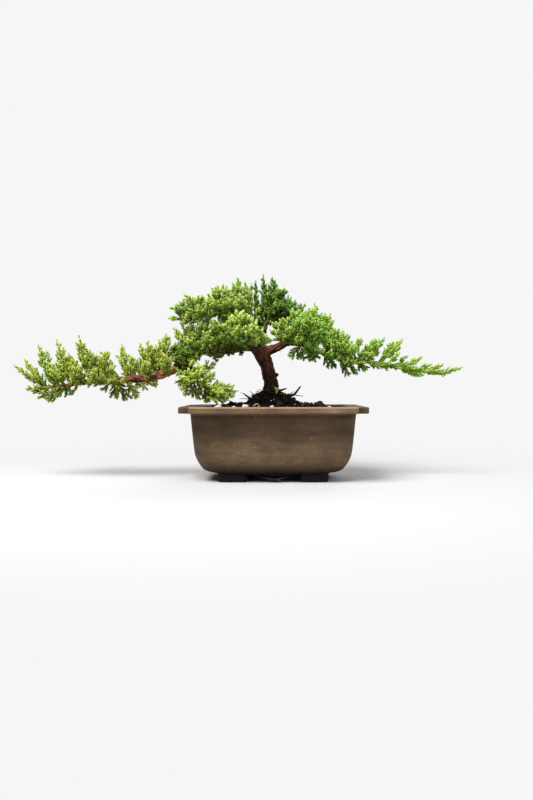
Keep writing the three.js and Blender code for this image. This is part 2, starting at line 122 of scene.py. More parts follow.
def travelled(line):
    """How far along a line each of its points lies."""
    return np.concatenate([[0], np.cumsum(np.linalg.norm(np.diff(line, axis=0), axis=1))])


# Meshes. A part is its points, its groups of faces and its named numbers, one for each point.

def new_object(name, data):
    made = bpy.data.objects.new(name, data)
    bpy.context.scene.collection.objects.link(made)
    return made


def write_numbers(mesh, numbers):
    for key, values in numbers.items():
        layer = mesh.attributes.new(key, "FLOAT", "POINT")
        layer.data.foreach_set("value", np.asarray(values, np.float32))


def mesh_from(name, points, faces, numbers):
    mesh = bpy.data.meshes.new(name)
    corners = np.concatenate([group.ravel() for group in faces])
    counts = np.concatenate([np.full(len(group), group.shape[1]) for group in faces])
    starts = np.concatenate([[0], np.cumsum(counts)[:-1]])
    mesh.vertices.add(len(points))
    mesh.vertices.foreach_set("co", metres(points).astype(np.float32).ravel())
    mesh.loops.add(len(corners))
    mesh.loops.foreach_set("vertex_index", corners.astype(np.int32))
    mesh.polygons.add(len(counts))
    mesh.polygons.foreach_set("loop_start", starts.astype(np.int32))
    mesh.polygons.foreach_set("use_smooth", np.full(len(counts), True))
    write_numbers(mesh, numbers)
    mesh.update(calc_edges=True)
    return mesh


def mesh_of(name, shape):
    """A mesh from a finished bmesh."""
    mesh = bpy.data.meshes.new(name)
    shape.to_mesh(mesh)
    shape.free()
    return mesh


def point_vectors(mesh, key):
    """A vector of each point: its place in metres ("co") or its outward way ("normal")."""
    flat = np.empty(len(mesh.vertices) * 3, np.float32)
    mesh.vertices.foreach_get(key, flat)
    return flat.reshape(-1, 3).astype(float)


def millimetres(mesh):
    return (point_vectors(mesh, "co") - POT_MIDDLE) * 1000


def face_corners(mesh):
    """The number of the point at each corner of each face."""
    corners = np.empty(len(mesh.loops), np.int32)
    mesh.loops.foreach_get("vertex_index", corners)
    return corners


def add_piece(name, mesh, slot, finish, *stands_for):
    """Puts a finished mesh on the tree, soil or pot in place of the CAD nodes it stands for."""
    piece = new_object(name, mesh)
    mesh.materials.append(finish)
    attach(piece, "root")
    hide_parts(*stands_for)
    return piece


def apply_modifiers(piece):
    """Turns a piece's modifiers into its own mesh."""
    view = bpy.context.evaluated_depsgraph_get()
    made = bpy.data.meshes.new_from_object(piece.evaluated_get(view))
    piece.modifiers.clear()
    piece.data = made


def combine(parts):
    """Joins several parts into one."""
    points, faces, numbers, count = [], [], {}, 0
    for some_points, some_faces, some_numbers in parts:
        points.append(some_points)
        faces += [group + count for group in some_faces]
        for key, values in some_numbers.items():
            numbers.setdefault(key, []).append(np.broadcast_to(values, len(some_points)))
        count += len(some_points)
    return np.concatenate(points), faces, {key: np.concatenate(v) for key, v in numbers.items()}


def walls_between(rings, count):
    """The faces between rings of points that follow one another."""
    ring, spot = np.meshgrid(np.arange(rings - 1), np.arange(count), indexing="ij")
    here, beside = ring * count + spot, ring * count + (spot + 1) % count
    return np.stack([here, beside, beside + count, here + count], -1).reshape(-1, 4)


def skin_over(rings, first_middle, last_middle):
    """A closed skin over rings of equal count, with a middle point in each of its two ends."""
    count = len(rings[0])
    points = np.concatenate(rings + [[first_middle], [last_middle]])
    first = np.arange(count)
    last = (len(rings) - 1) * count + first
    under = np.stack([np.full(count, len(points) - 2), np.roll(first, -1), first], 1)
    over = np.stack([np.full(count, len(points) - 1), last, np.roll(last, -1)], 1)
    return points, [walls_between(len(rings), count), under, over]


def tubes(lines, radii, sides):
    """Closed tubes along lines of shape (tubes, stations, 3): points and faces."""
    lines, radii = np.asarray(lines, float), np.asarray(radii, float)
    count, stations, _ = lines.shape
    ways = unit(np.gradient(lines, axis=1))
    side = across(ways[:, 0])[0]
    points = np.empty((count, stations, sides, 3))
    for i in range(stations):
        side = unit(side - ways[:, i] * (side * ways[:, i]).sum(-1, keepdims=True))
        up = np.cross(ways[:, i], side)
        for j in range(sides):
            turn = FULL_TURN * j / sides
            out = math.cos(turn) * side + math.sin(turn) * up
            points[:, i, j] = lines[:, i] + out * radii[:, i, None]
    base = (np.arange(count) * stations * sides)[:, None, None]
    walls = walls_between(stations, sides)
    start = np.arange(sides)[::-1].reshape(1, 1, sides)
    end = (stations - 1) * sides + np.arange(sides).reshape(1, 1, sides)
    faces = [(walls + base).reshape(-1, 4)]
    faces += [(cap + base).reshape(-1, sides) for cap in (start, end)]
    return points.reshape(-1, 3), faces


# Materials

class Socket:
    """A value in a material. Arithmetic on it adds the Math nodes."""

    def __init__(self, finish, socket):
        self.finish, self.socket = finish, socket

    def maths(self, operation, first, second):
        return self.finish.node("Math", {"operation": operation}, {0: first, 1: second})

    def __add__(self, other):
        return self.maths("ADD", self, other)

    def __radd__(self, other):
        return self.maths("ADD", other, self)

    def __sub__(self, other):
        return self.maths("SUBTRACT", self, other)

    def __rsub__(self, other):
        return self.maths("SUBTRACT", other, self)

    def __mul__(self, other):
        return self.maths("MULTIPLY", self, other)

    def __rmul__(self, other):
        return self.maths("MULTIPLY", other, self)


def paint(red, green, blue):
    """A colour picked on a screen, as the light it reflects."""
    return tuple(((c / 255 + 0.055) / 1.055) ** 2.4 if c > 10 else c / 255 / 12.92
                 for c in (red, green, blue))


class Finish:
    """One material, ending in its Principled shader."""

    def __init__(self, name, **settings):
        self.material = bpy.data.materials.new(name)
        self.material.use_nodes = True
        self.tree = self.material.node_tree
        self.shader = self.tree.nodes["Principled BSDF"]
        for key, value in settings.items():
            self.shader.inputs[key.replace("_", " ")].default_value = value

    def feed(self, socket, value):
        if isinstance(value, Socket):
            self.tree.links.new(value.socket, socket)
        else:
            socket.default_value = value

    def node(self, kind, settings, sockets, output=0):
        made = self.tree.nodes.new("ShaderNode" + kind)
        for key, value in settings.items():
            setattr(made, key, value)
        for key, value in sockets.items():
            self.feed(made.inputs[key], value)
        return Socket(self, made.outputs[output])

    def number(self, name):
        """A number that the mesh carries at each point."""
        return self.node("Attribute", {"attribute_name": name}, {}, "Fac")

    def place(self, stretch=(1, 1, 1)):
        """Where a point of the part is, in millimetres, stretched."""
        where = self.node("TexCoord", {}, {}, "Object")
        scale = tuple(1000 * s for s in stretch)
        return self.node("VectorMath", {"operation": "MULTIPLY"}, {0: where, 1: scale})

    def noise(self, where, size, detail, roughness=0.55):
        return self.node("TexNoise", {}, {"Vector": where, "Scale": 1 / size, "Detail": detail,
                                          "Roughness": roughness})

    def specks(self, where, size, edge, heart):
        """Round specks, one in each cell of this size: 0 at the edge and 1 at the heart."""
        far = self.node("TexVoronoi", {}, {"Vector": where, "Scale": 1 / size}, "Distance")
        return self.between(far, edge, heart)

    def between(self, value, low, high, start=0.0, end=1.0):
        """A smooth step of value from low to high, giving start to end."""
        return self.node("MapRange", {"interpolation_type": "SMOOTHSTEP"},
                         {"Value": value, 1: low, 2: high, 3: start, 4: end})

    def ramp(self, value, stops):
        """A colour for each value; a stop is a value and the red, green and blue on a screen."""
        made = self.node("ValToRGB", {}, {0: value})
        ramp = made.socket.node.color_ramp
        stops = [(at, (*paint(*colour), 1)) for at, *colour in stops]
        ramp.elements[0].position, ramp.elements[0].color = stops[0]
        ramp.elements[1].position, ramp.elements[1].color = stops[-1]
        for at, colour in stops[1:-1]:
            ramp.elements.new(at).color = colour
        return made

    def mix(self, share, first, second, way="MIX"):
        first, second = ((*c, 1) if isinstance(c, tuple) else c for c in (first, second))
        return self.node("Mix", {"data_type": "RGBA", "blend_type": way},
                         {0: share, 6: first, 7: second}, 2)

    def colour(self, value):
        self.feed(self.shader.inputs["Base Color"], value)

    def roughness(self, value):
        self.feed(self.shader.inputs["Roughness"], value)

    def bumps(self, height, depth, strength):
        """Fine relief; depth is in millimetres."""
        bump = self.node("Bump", {}, {"Height": height, "Strength": strength,
                                      "Distance": depth / 1000})
        self.feed(self.shader.inputs["Normal"], bump)


# Needles are numbered along from 0 to 0.93 and stems about 0.98
STEM_STARTS = (0.955, 0.965)


def needle_green(name, old, grown, young_and_lit, tip):
    """Needles: dark at the heel of old wood, yellow-green at the growing ends, brown stems. Their
    shade number also carries painted shade on inner and downward shoots, and each needle's tip has
    a painted highlight.
    """
    finish = Finish(name, Specular_IOR_Level=0.05)
    age_and_shade, along = finish.number("shade"), finish.number("along")
    leaf = finish.ramp(age_and_shade, [(0.0, *old), (0.4, *grown), (0.75, *young_and_lit), (1.0, *tip)])
    # Painted highlight: each needle lightens towards its tip.
    leaf = finish.mix(finish.between(along, 0.15, 0.95, 0.0, 0.24), leaf, paint(*tip))
    drift = finish.noise(finish.place(), 11.0, 2.0)
    bluer = finish.mix(0.55, leaf, paint(78, 152, 78))
    leaf = finish.mix(finish.between(drift, 0.5, 0.62, 0.0, 0.5), leaf, bluer)
    yellower = finish.mix(0.4, leaf, paint(170, 160, 60))
    leaf = finish.mix(finish.between(drift, 0.46, 0.33, 0.0, 0.5), leaf, yellower)
    stem = finish.ramp(age_and_shade, [(0.0, 62, 36, 18), (0.45, 104, 72, 30), (0.7, 104, 116, 38),
                             (1.0, *young_and_lit)])
    is_stem = finish.between(along, *STEM_STARTS)
    finish.colour(finish.mix(is_stem, leaf, stem))
    grain = finish.noise(finish.place(), 0.7, 2.0)
    finish.roughness(0.42 + 0.25 * grain)
    return finish.material


def bark_brown():
    """Juniper bark: long red-brown strips, greyer on the trunk and nearly black by the soil."""
    finish = Finish("bark", Specular_IOR_Level=0.2)
    where = finish.place()
    strips, relief = finish.number("strips"), finish.number("relief")
    mottle = finish.noise(where, 5.0, 4.0, 0.6)
    fine = finish.noise(finish.place((1, 1, 0.45)), 0.7, 3.0, 0.6)
    brown = finish.ramp(strips * 0.55 + mottle * 0.25 + fine * 0.3, [
        (0.2, 34, 16, 7), (0.42, 84, 44, 22), (0.6, 132, 78, 46), (0.8, 184, 132, 92)])
    trunk = finish.number("trunk")
    grey = finish.between(finish.noise(where, 9.0, 3.0), 0.56, 0.68) * trunk
    brown = finish.mix(trunk, brown, (0.33, 0.29, 0.31), "MULTIPLY")
    brown = finish.mix(grey * 0.6, brown, paint(62, 50, 45))
    brown = finish.mix(finish.between(relief, 0.3, 0.6, 0.8, 0.0), brown, paint(18, 8, 4))
    finish.colour(finish.mix(finish.number("damp") * 0.9, brown, paint(11, 6, 4)))
    finish.roughness(0.95 - 0.25 * fine)
    finish.bumps(fine * 0.6 + strips * 0.6 + mottle * 0.3, 0.35, 0.9)
    return finish.material


def fired_clay():
    """Unglazed brown clay: cloudy patches, faint sideways rub marks, grit and paler worn edges,
    with painted shade down the outer wall, in the lip's notches and at the foot.
    """
    finish = Finish("fired_clay", Specular_IOR_Level=0.16)
    where = finish.place()
    clouds = finish.noise(where, 22.0, 4.0, 0.6)
    drift = finish.noise(finish.place((0.25, 0.25, 1.6)), 6.0, 4.0, 0.6)
    grain = finish.noise(where, 1.1, 3.0, 0.65)
    fine = finish.noise(where, 0.4, 2.0, 0.6)
    clay = finish.ramp(clouds * 0.45 + drift * 0.3 + grain * 0.3, [
        (0.36, 71, 53, 38), (0.5, 95, 75, 55), (0.6, 109, 88, 67), (0.72, 127, 105, 82)])
    freckle = finish.specks(where, 4.2, 0.13, 0.07) * finish.between(grain, 0.42, 0.56)
    clay = finish.mix(freckle * 0.75, clay, paint(182, 166, 142))
    pit = finish.specks(where, 3.1, 0.10, 0.04) * finish.between(drift, 0.48, 0.6)
    clay = finish.mix(pit * 0.6, clay, paint(36, 27, 20))
    # Painted shade down the outer wall, strongest under the lip.
    clay = finish.mix(finish.number("painted_wall_shade"), clay, (0.36, 0.345, 0.33), "MULTIPLY")
    # Painted shade: the foot and lowest wall turn nearly black.
    clay = finish.mix(finish.between(finish.number("low"), 0.0, 1.0), clay, paint(17, 13, 12))
    worn = finish.between(finish.number("worn") + 0.35 * grain, 0.5, 1.1, 0.0, 0.7)
    clay = finish.mix(worn, clay, paint(168, 142, 112))
    # Painted shade in the hollow notches at the lip's corners.
    clay = finish.mix(finish.number("painted_notch_shade") * (0.5 + 0.4 * clouds), clay, paint(40, 29, 20))
    finish.colour(clay)
    finish.roughness(0.5 + 0.3 * grain + 0.1 * clouds)
    finish.bumps(grain * 0.6 + fine * 0.4 - pit * 0.8 + drift * 0.3, 0.22, 0.8)
    return finish.material


def potting_soil():
    """Dark peat with bark, grit and a few pale grains."""
    finish = Finish("potting_soil", Specular_IOR_Level=0.06)
    where = finish.place()
    kind, fine = finish.number("kind"), finish.noise(where, 0.8, 4.0, 0.7)
    clumps = finish.noise(where, 4.0, 3.0, 0.6)
    peat = finish.ramp(fine * 0.6 + clumps * 0.4, [
        (0.3, 4, 2, 2), (0.5, 13, 8, 6), (0.66, 32, 21, 15), (0.8, 60, 42, 31)])
    bits = finish.ramp(kind, [
        (0.0, 6, 4, 3), (0.35, 26, 15, 10), (0.6, 68, 40, 24), (0.8, 98, 68, 46),
        (0.9, 150, 138, 122), (1.0, 205, 196, 184)])
    bits = finish.mix(fine * 0.5, bits, paint(14, 9, 7))
    is_crumb = finish.between(kind, 0.001, 0.002)
    finish.colour(finish.mix(is_crumb, peat, bits))
    finish.roughness(0.98 - 0.2 * clumps)
    finish.bumps(fine + clumps * 0.5, 0.5, 0.9)
    return finish.material


def loose_bark():
    """Broken bark chips: layered, nearly black with brown faces."""
    finish = Finish("loose_bark", Specular_IOR_Level=0.2)
    layers = finish.noise(finish.place((0.5, 1, 2.2)), 1.6, 4.0, 0.65)
    patches = finish.noise(finish.place(), 2.8, 2.0)
    finish.colour(finish.ramp(layers * 0.6 + patches * 0.4, [
        (0.34, 10, 7, 6), (0.48, 30, 19, 14), (0.6, 66, 42, 29), (0.74, 104, 74, 54)]))
    finish.roughness(0.95 - 0.25 * patches)
    finish.bumps(layers, 0.5, 1.0)
    return finish.material


def pale_stone():
    """Off-white and pinkish grit with soft grey stains."""
    finish = Finish("pale_stone")
    where = finish.place()
    stain, fine = finish.noise(where, 2.6, 4.0, 0.6), finish.noise(where, 0.5, 3.0, 0.7)
    stone = finish.ramp(stain, [(0.3, 150, 132, 122), (0.48, 196, 178, 168), (0.7, 222, 208, 200)])
    stone = finish.mix(finish.between(fine, 0.62, 0.75, 0.0, 0.6), stone, paint(150, 136, 126))
    finish.colour(stone)
    finish.roughness(0.7 + 0.25 * stain)
    finish.bumps(fine * 0.6 + stain * 0.5, 0.3, 0.8)
    return finish.material


def dark_wire():
    """Dark soft wire with a dull skin and fine scratches."""
    finish = Finish("dark_wire", Metallic=0.85)
    scratch = finish.noise(finish.place((3, 0.6, 3)), 1.2, 4.0, 0.7)
    dust = finish.noise(finish.place(), 2.5, 3.0)
    skin = finish.ramp(scratch, [(0.4, 40, 36, 35), (0.6, 58, 54, 52), (0.78, 120, 112, 104)])
    finish.colour(finish.mix(finish.between(dust, 0.55, 0.75, 0.0, 0.5), skin, paint(92, 74, 58)))
    finish.roughness(0.3 + 0.35 * dust)
    finish.bumps(scratch, 0.05, 0.6)
    return finish.material


def black_plastic():
    """Moulded black mesh, a little dusty with soil."""
    finish = Finish("black_plastic")
    dust = finish.noise(finish.place(), 3.0, 4.0, 0.65)
    finish.colour(finish.ramp(dust, [(0.4, 24, 24, 26), (0.6, 38, 36, 35), (0.8, 84, 70, 58)]))
    finish.roughness(0.4 + 0.4 * dust)
    finish.bumps(finish.noise(finish.place(), 0.4, 2.0), 0.06, 0.5)
    return finish.material


# The pot. Its body is as wide as the half lengths below say, and always as much shallower.

RIM_LENGTH, RIM_DEPTH, POT_HEIGHT = 158, 118, 64
LIP_UNDERSIDE, BOTTOM_HEIGHT, FLOOR_HEIGHT = 58.5, 6, 12
LIP_BEGINS, MOUTH_HALF = 58, 66.9
NOTCH, NOTCH_STEP, NOTCH_HOLLOW = 9.2, 3.4, 0.8
SIDE_DIFFERENCE, BODY_CORNER, MOUTH_CORNER = 20, 24, 19
LOWER_EDGE, UPPER_EDGE = 0.9, 1.1
DRAIN_HOLES = (-30, 30)
OUTSIDE = [
    (46, 6), (53, 6.6), (59.2, 8.7), (62, 11.8), (64.4, 15.6), (66.3, 20),
    (67.5, 24.5), (68.5, 33.4), (69.6, 45), (70.8, 58.5),
]
INSIDE = [
    (65.9, 63.85), (65.1, 63.5), (64.7, 63.1), (64.2, 62.4), (63.6, 50), (62.4, 36), (61.2, 26),
    (59.4, 20), (56.4, 15.5), (50.5, 12.8), (42.5, 12),
]


def ring_angles():
    """The angles of a ring's points, closest where the corners of the lip are."""
    quarter = np.concatenate([np.linspace(0, 22, 14), np.linspace(22, 49, 110)[1:],
                              np.linspace(49, 90, 22)[1:]])
    there, back = quarter[:-1], quarter[:0:-1]
    return np.radians(np.concatenate([there, 180 - back, 180 + there, 360 - back]))


ANGLES = ring_angles()


def by_angle(outline, z):
    """The outline, given as points round the middle, as a ring with one point at each of ANGLES."""
    turn = np.unwrap(np.arctan2(outline[:, 1], outline[:, 0]))[:-1]
    far = np.hypot(outline[:, 0], outline[:, 1])[:-1]
    reach = np.interp(ANGLES, turn, far, period=FULL_TURN)
    return np.stack([reach * np.cos(ANGLES), reach * np.sin(ANGLES), np.full(len(ANGLES), z)], 1)


def rounded(half_length, corner, z, scale=1.0):
    """A ring round the pot's body: a rectangle with round corners."""
    half_depth = half_length - SIDE_DIFFERENCE
    outline = []
    for quarter in range(4):
        right, back = 1 if quarter in (0, 3) else -1, 1 if quarter < 2 else -1
        for turn in np.radians(np.linspace(quarter * 90, quarter * 90 + 90, 60)):
            outline.append((right * (half_length - corner) + corner * math.cos(turn),
                            back * (half_depth - corner) + corner * math.sin(turn)))
    corners = np.array(outline + outline[:1])
    steps = np.linspace(0, 1, 12, endpoint=False)[None, :, None]
    fine = (corners[:-1, None] * (1 - steps) + corners[1:, None] * steps).reshape(-1, 2)
    return by_angle(np.concatenate([fine, fine[:1]]) * scale, z)


def lip_outline():
    """The lip seen from above: a rectangle with a hollow step cut out of each corner."""
    right, back = RIM_LENGTH / 2, RIM_DEPTH / 2
    cut = np.array([(right - NOTCH_STEP, back - NOTCH),
                    (right - NOTCH + NOTCH_HOLLOW, back - NOTCH + NOTCH_HOLLOW),
                    (right - NOTCH, back - NOTCH_STEP)])
    hollow = bend(*cut, np.linspace(0, 1, 12)[:, None])
    quarter = [(right, 0.001), (right, back - NOTCH), *hollow, (right - NOTCH, back), (0.001, back)]
    flips = [(1, 1, 1), (-1, 1, -1), (-1, -1, 1), (1, -1, -1)]
    corners = [np.array(quarter[::order]) * (sx, sy) for sx, sy, order in flips]
    corners = np.concatenate(corners + [corners[0][:1]])
    length = travelled(corners)
    spacing, blur, reach = 0.2, 0.75, 12
    even = np.linspace(0, length[-1], int(length[-1] / spacing), endpoint=False)
    line = np.stack([np.interp(even, length, corners[:, i]) for i in (0, 1)], 1)
    soften = np.exp(-0.5 * (np.arange(-reach, reach + 1) * spacing / blur) ** 2)
    padded = np.concatenate([line[-reach:], line, line[:reach]])
    return np.stack([np.convolve(padded[:, i], soften / soften.sum(), "valid") for i in (0, 1)], 1)


LIP = lip_outline()
LIP_WAY = np.roll(LIP, -1, axis=0) - np.roll(LIP, 1, axis=0)
LIP_OUTWARD = unit(np.stack([LIP_WAY[:, 1], -LIP_WAY[:, 0]], 1))


def lip_ring(inset, z):
    moved = LIP - LIP_OUTWARD * inset
    return by_angle(np.concatenate([moved, moved[:1]]), z)


def rings_across(start, end, height, sag=0.0):
    """Three rings on the flat face between two rings, which may sag a little."""
    rings = []
    for share in (0.25, 0.5, 0.75):
        ring = start * (1 - share) + end * share
        ring[:, 2] = height - sag * math.sin(math.pi * share)
        rings.append(ring)
    return rings


def pot_body():
    """The pot's skin, from under its bottom, up the outside, round the lip and down inside."""
    rings = [rounded(OUTSIDE[0][0], BODY_CORNER, BOTTOM_HEIGHT, 0.5)]
    rings += [rounded(half, BODY_CORNER, z) for half, z in smooth_line(OUTSIDE, 4)]
    rings += [rounded(OUTSIDE[-1][0] + 0.4, BODY_CORNER, LIP_UNDERSIDE + 0.1)]
    rings += rings_across(rings[-1], lip_ring(LOWER_EDGE, LIP_UNDERSIDE), LIP_UNDERSIDE)
    for turn in np.radians((0, 30, 60, 90)):
        rings.append(lip_ring(LOWER_EDGE * (1 - math.sin(turn)),
                              LIP_UNDERSIDE + LOWER_EDGE * (1 - math.cos(turn))))
    upright_heights = (60.5, 61.7)
    rings += [lip_ring(0, z) for z in upright_heights]
    for turn in np.radians((0, 22, 45, 67, 90)):
        rings.append(lip_ring(UPPER_EDGE * (1 - math.cos(turn)),
                              POT_HEIGHT - UPPER_EDGE * (1 - math.sin(turn))))
    mouth = rounded(MOUTH_HALF, MOUTH_CORNER + 0.5, POT_HEIGHT)
    rings += rings_across(lip_ring(UPPER_EDGE, POT_HEIGHT), mouth, POT_HEIGHT, sag=0.16)
    rings += [mouth] + [rounded(half, MOUTH_CORNER, z) for half, z in INSIDE]
    rings += [rounded(INSIDE[-1][0], MOUTH_CORNER, FLOOR_HEIGHT, 0.5)]
    return skin_over(rings, [0, 0, BOTTOM_HEIGHT], [0, 0, FLOOR_HEIGHT])


def pot_foot(sx, sy):
    """An L-shaped foot under one corner, its lower edges softened. It reaches into the bottom."""
    outline = [(23, 36), (23, 27), (37, 27), (37, 14), (47, 14), (47, 32.5), (44, 36)]
    top, softened = 0.0094, 0.0009
    shape = bmesh.new()
    face = shape.faces.new([shape.verts.new((*metres((sx * x, sy * y, 0)),)) for x, y in outline])
    made = bmesh.ops.extrude_face_region(shape, geom=[face])
    for corner in made["geom"]:
        if isinstance(corner, bmesh.types.BMVert):
            corner.co.z = top
    bmesh.ops.recalc_face_normals(shape, faces=shape.faces)
    edges = [edge for edge in shape.edges if min(v.co.z for v in edge.verts) < top / 2]
    bmesh.ops.bevel(shape, geom=edges, offset=softened, segments=3, affect="EDGES")
    return mesh_of("pot_foot", shape)


def drain_hole(x):
    heights, radii = (2, 9, 16), (7.4, 7.0, 7.4)
    points, faces = tubes([[(x, 0, z) for z in heights]], [radii], 48)
    return mesh_from("drain_hole", points, faces, {})


def on_outside_wall(spots):
    """True for points on the outer face of the pot's body, up to the lip."""
    depth = 2.5
    middle = np.interp(spots[:, 2], *np.array(OUTSIDE).T[::-1]) - depth
    corner = BODY_CORNER - depth
    past = np.abs(spots[:, :2]) - np.stack([middle - corner, middle - SIDE_DIFFERENCE - corner], 1)
    below_lip = spots[:, 2] < LIP_UNDERSIDE - 0.1
    return (np.linalg.norm(past.clip(0, None), axis=1) > corner) & below_lip


def pot_marks(spots):
    """How worn the clay is at each point, and its painted shade: in the lip's notches, down the
    outer wall and at the foot.
    """
    x, y, z = spots.T
    past_side, past_end = np.abs(x) - RIM_LENGTH / 2, np.abs(y) - RIM_DEPTH / 2
    lip_edge = np.exp(-((z - 63.6) / 0.7) ** 2) + 0.5 * np.exp(-((z - 58.8) / 0.6) ** 2)
    outer = np.maximum(past_side, past_end)
    into_notch = np.interp(np.minimum(past_side, past_end) + NOTCH, [-0.8, 0.3, 2.5, 4],
                           [0, 1, 1, 0.4])
    # Painted shade on the outer wall: deepest just under the lip and about 42 mm up, with more low
    # down at the front left.
    front_left = np.interp(x, [-64, -46], [1, 0]) * np.interp(y, [-40, 0], [1, 0])
    wall_shade = np.interp(z, [20, 30, 42, 50, 54, 57], [0.0, 0.2, 0.9, 0.6, 0.45, 1.0])
    wall_shade = wall_shade + front_left * np.interp(z, [12, 26, 40], [0.0, 0.8, 0.1])
    return {
        "worn": lip_edge * np.exp(-(outer / 1.1) ** 2),
        # Painted shade in the notch hollows, less on the lip's top.
        "painted_notch_shade": (z > LIP_BEGINS) * into_notch * np.interp(z, [62.5, 64], [1, 0.35]),
        # Painted shade at the foot, fading out by 19 mm up.
        "low": (1 - (z - 7) / 12).clip(0, 1),
        "painted_wall_shade": on_outside_wall(spots) * wall_shade.clip(0, 1),
    }


def make_pot():
    points, faces = pot_body()
    swell = 0.35 * (rough(points, 26, 2, 3) - 0.5) + 0.10 * (rough(points, 1.6, 2, 5) - 0.5)
    points = points + unit(points * (1, 1, 0)) * swell[:, None]
    warp = 0.25 * (rough(points, 18, 2, 9) - 0.5)
    points[:, 2] += np.where(points[:, 2] > LIP_BEGINS, warp, 0)
    points[:, 2] = points[:, 2].clip(None, POT_HEIGHT + 0.05)
    mesh = mesh_from("clay_pot", points, faces, {})
    pot = add_piece("clay_pot", mesh, "fired_clay", fired_clay(), "pot")
    shapes = [("UNION", pot_foot(sx, sy)) for sx in (-1, 1) for sy in (-1, 1)]
    shapes += [("DIFFERENCE", drain_hole(x)) for x in DRAIN_HOLES]
    tools = [new_object("tool", shape) for _, shape in shapes]
    for (operation, _), tool in zip(shapes, tools):
        cut = pot.modifiers.new("shape", "BOOLEAN")
        cut.operation, cut.solver, cut.object = operation, "MANIFOLD", tool
    apply_modifiers(pot)
    for tool in tools:
        bpy.data.objects.remove(tool)
    write_numbers(pot.data, pot_marks(millimetres(pot.data)))
    pot.data.polygons.foreach_set("use_smooth", np.full(len(pot.data.polygons), True))
    pot.data.set_sharp_from_angle(angle=math.radians(50))


# Soil and what lies on it

TRUNK_FOOT = np.array((-2.5, 0.0))
SOIL_EDGE, SOIL_CROWN, MOUND_HEIGHT, MOUND_REACH = 59, 6.5, 12, 18
SOIL_HALVES, CRUMB_HALVES = (63.7, 43.7), (62.5, 42.5)
SOIL_FROM_POT, SOIL_WALL_TOP, SOIL_RIM_HALF = 0.3, 54, 63.6


def toward_edge(x, y):
    """0 in the middle of the soil and 1 at its edge, which has round corners."""
    return ((np.abs(x) / SOIL_HALVES[0]) ** 4 + (np.abs(y) / SOIL_HALVES[1]) ** 4) ** 0.25


def soil_height(x, y):
    """The soil without its clods: a low crown and a mound at the trunk, steeper on the left."""
    steeper = np.where(x < TRUNK_FOOT[0], 1.2, 1)
    away = np.hypot((x - TRUNK_FOOT[0]) * steeper, y - TRUNK_FOOT[1])
    mound = MOUND_HEIGHT * np.exp(-((away / MOUND_REACH) ** 2.4))
    return SOIL_EDGE + SOIL_CROWN * (1 - toward_edge(x, y).clip(0, 1) ** 3) + mound


def soil_top(x, y):
    """The soil's height with its clods and crumbs."""
    spot = np.stack([x, y, np.zeros_like(x)], -1)
    clods = 2.4 * (rough(spot, 9, 2, 21) - 0.55) + 1.5 * (rough(spot, 2.6, 2, 23) - 0.5)
    return soil_height(x, y) + clods * np.interp(toward_edge(x, y), [0.9, 1.0], [1, 0.3])


def ground_at(x, y):
    return float(soil_top(np.array([x]), np.array([y]))[0])


def round_trunk(turn, far):
    return TRUNK_FOOT[0] + far * math.cos(turn), TRUNK_FOOT[1] + far * math.sin(turn)


def soil_bed():
    """The soil's skin: up along the inside of the pot, then in over the top to the trunk."""
    rings = [rounded(half - SOIL_FROM_POT, MOUTH_CORNER, z + SOIL_FROM_POT)
             for half, z in INSIDE[::-1] if z < SOIL_WALL_TOP]
    rim = rounded(SOIL_RIM_HALF, MOUTH_CORNER, SOIL_EDGE)
    rings.append(rim)
    for share in np.linspace(0.985, 0.04, 62):
        x, y = (TRUNK_FOOT + (rim[:, :2] - TRUNK_FOOT) * share).T
        rings.append(np.stack([x, y, soil_top(x, y)], 1))
    summit = rings[-1][:, 2].mean()
    points, faces = skin_over(rings, [0, 0, rings[0][0, 2]], [*TRUNK_FOOT, summit])
    return points, faces, {"kind": np.zeros(len(points))}


def ball(detail):
    shape = bmesh.new()
    bmesh.ops.create_icosphere(shape, subdivisions=detail, radius=1)
    points = np.array([v.co for v in shape.verts])
    faces = np.array([[v.index for v in face.verts] for face in shape.faces])
    shape.free()
    return points, faces


def turned(points, dice):
    """Points turned about the middle by a random amount in every direction."""
    spin, _ = np.linalg.qr(dice.normal(size=(3, 3)))
    if np.linalg.det(spin) < 0:
        spin[:, 0] = -spin[:, 0]
    return points @ spin.T


def crumbs(count, seed, low, high, kinds, near=None):
    """Loose crumbs of bark, peat and grit, half sunk in the soil. Kinds are shares and tones."""
    dice = np.random.default_rng(seed)
    base, faces = ball(1)
    wide, deep = CRUMB_HALVES
    parts = []
    while len(parts) < count:
        if near is None:
            x, y = dice.uniform(-wide, wide), dice.uniform(-deep, deep)
        else:
            x, y = round_trunk(dice.uniform(0, FULL_TURN), near * dice.uniform(0.25, 1) ** 0.7)
        if (abs(x) / wide) ** 5 + (abs(y) / deep) ** 5 > 1:
            continue
        size = low * (high / low) ** (dice.random() ** 2)
        long, flat = dice.uniform(1.0, 2.0), dice.uniform(0.45, 0.9)
        bulges = lumps(base * 3 + dice.uniform(0, 90, 3), 1.7, seed) - 0.5
        shape = base * (1 + 0.5 * bulges)[:, None]
        shape = turned(shape * (long, 1, flat), dice) * (size / 2)
        lift = size * dice.uniform(-0.05, 0.3) * min(1.0, long * 0.7)
        kind = dice.choice(len(kinds), p=[share for share, _ in kinds])
        tone = float(np.clip(kinds[kind][1] + dice.uniform(-0.06, 0.06), 0.004, 1))
        parts.append((shape + (x, y, ground_at(x, y) + lift), [faces], {"kind": tone}))
    return parts


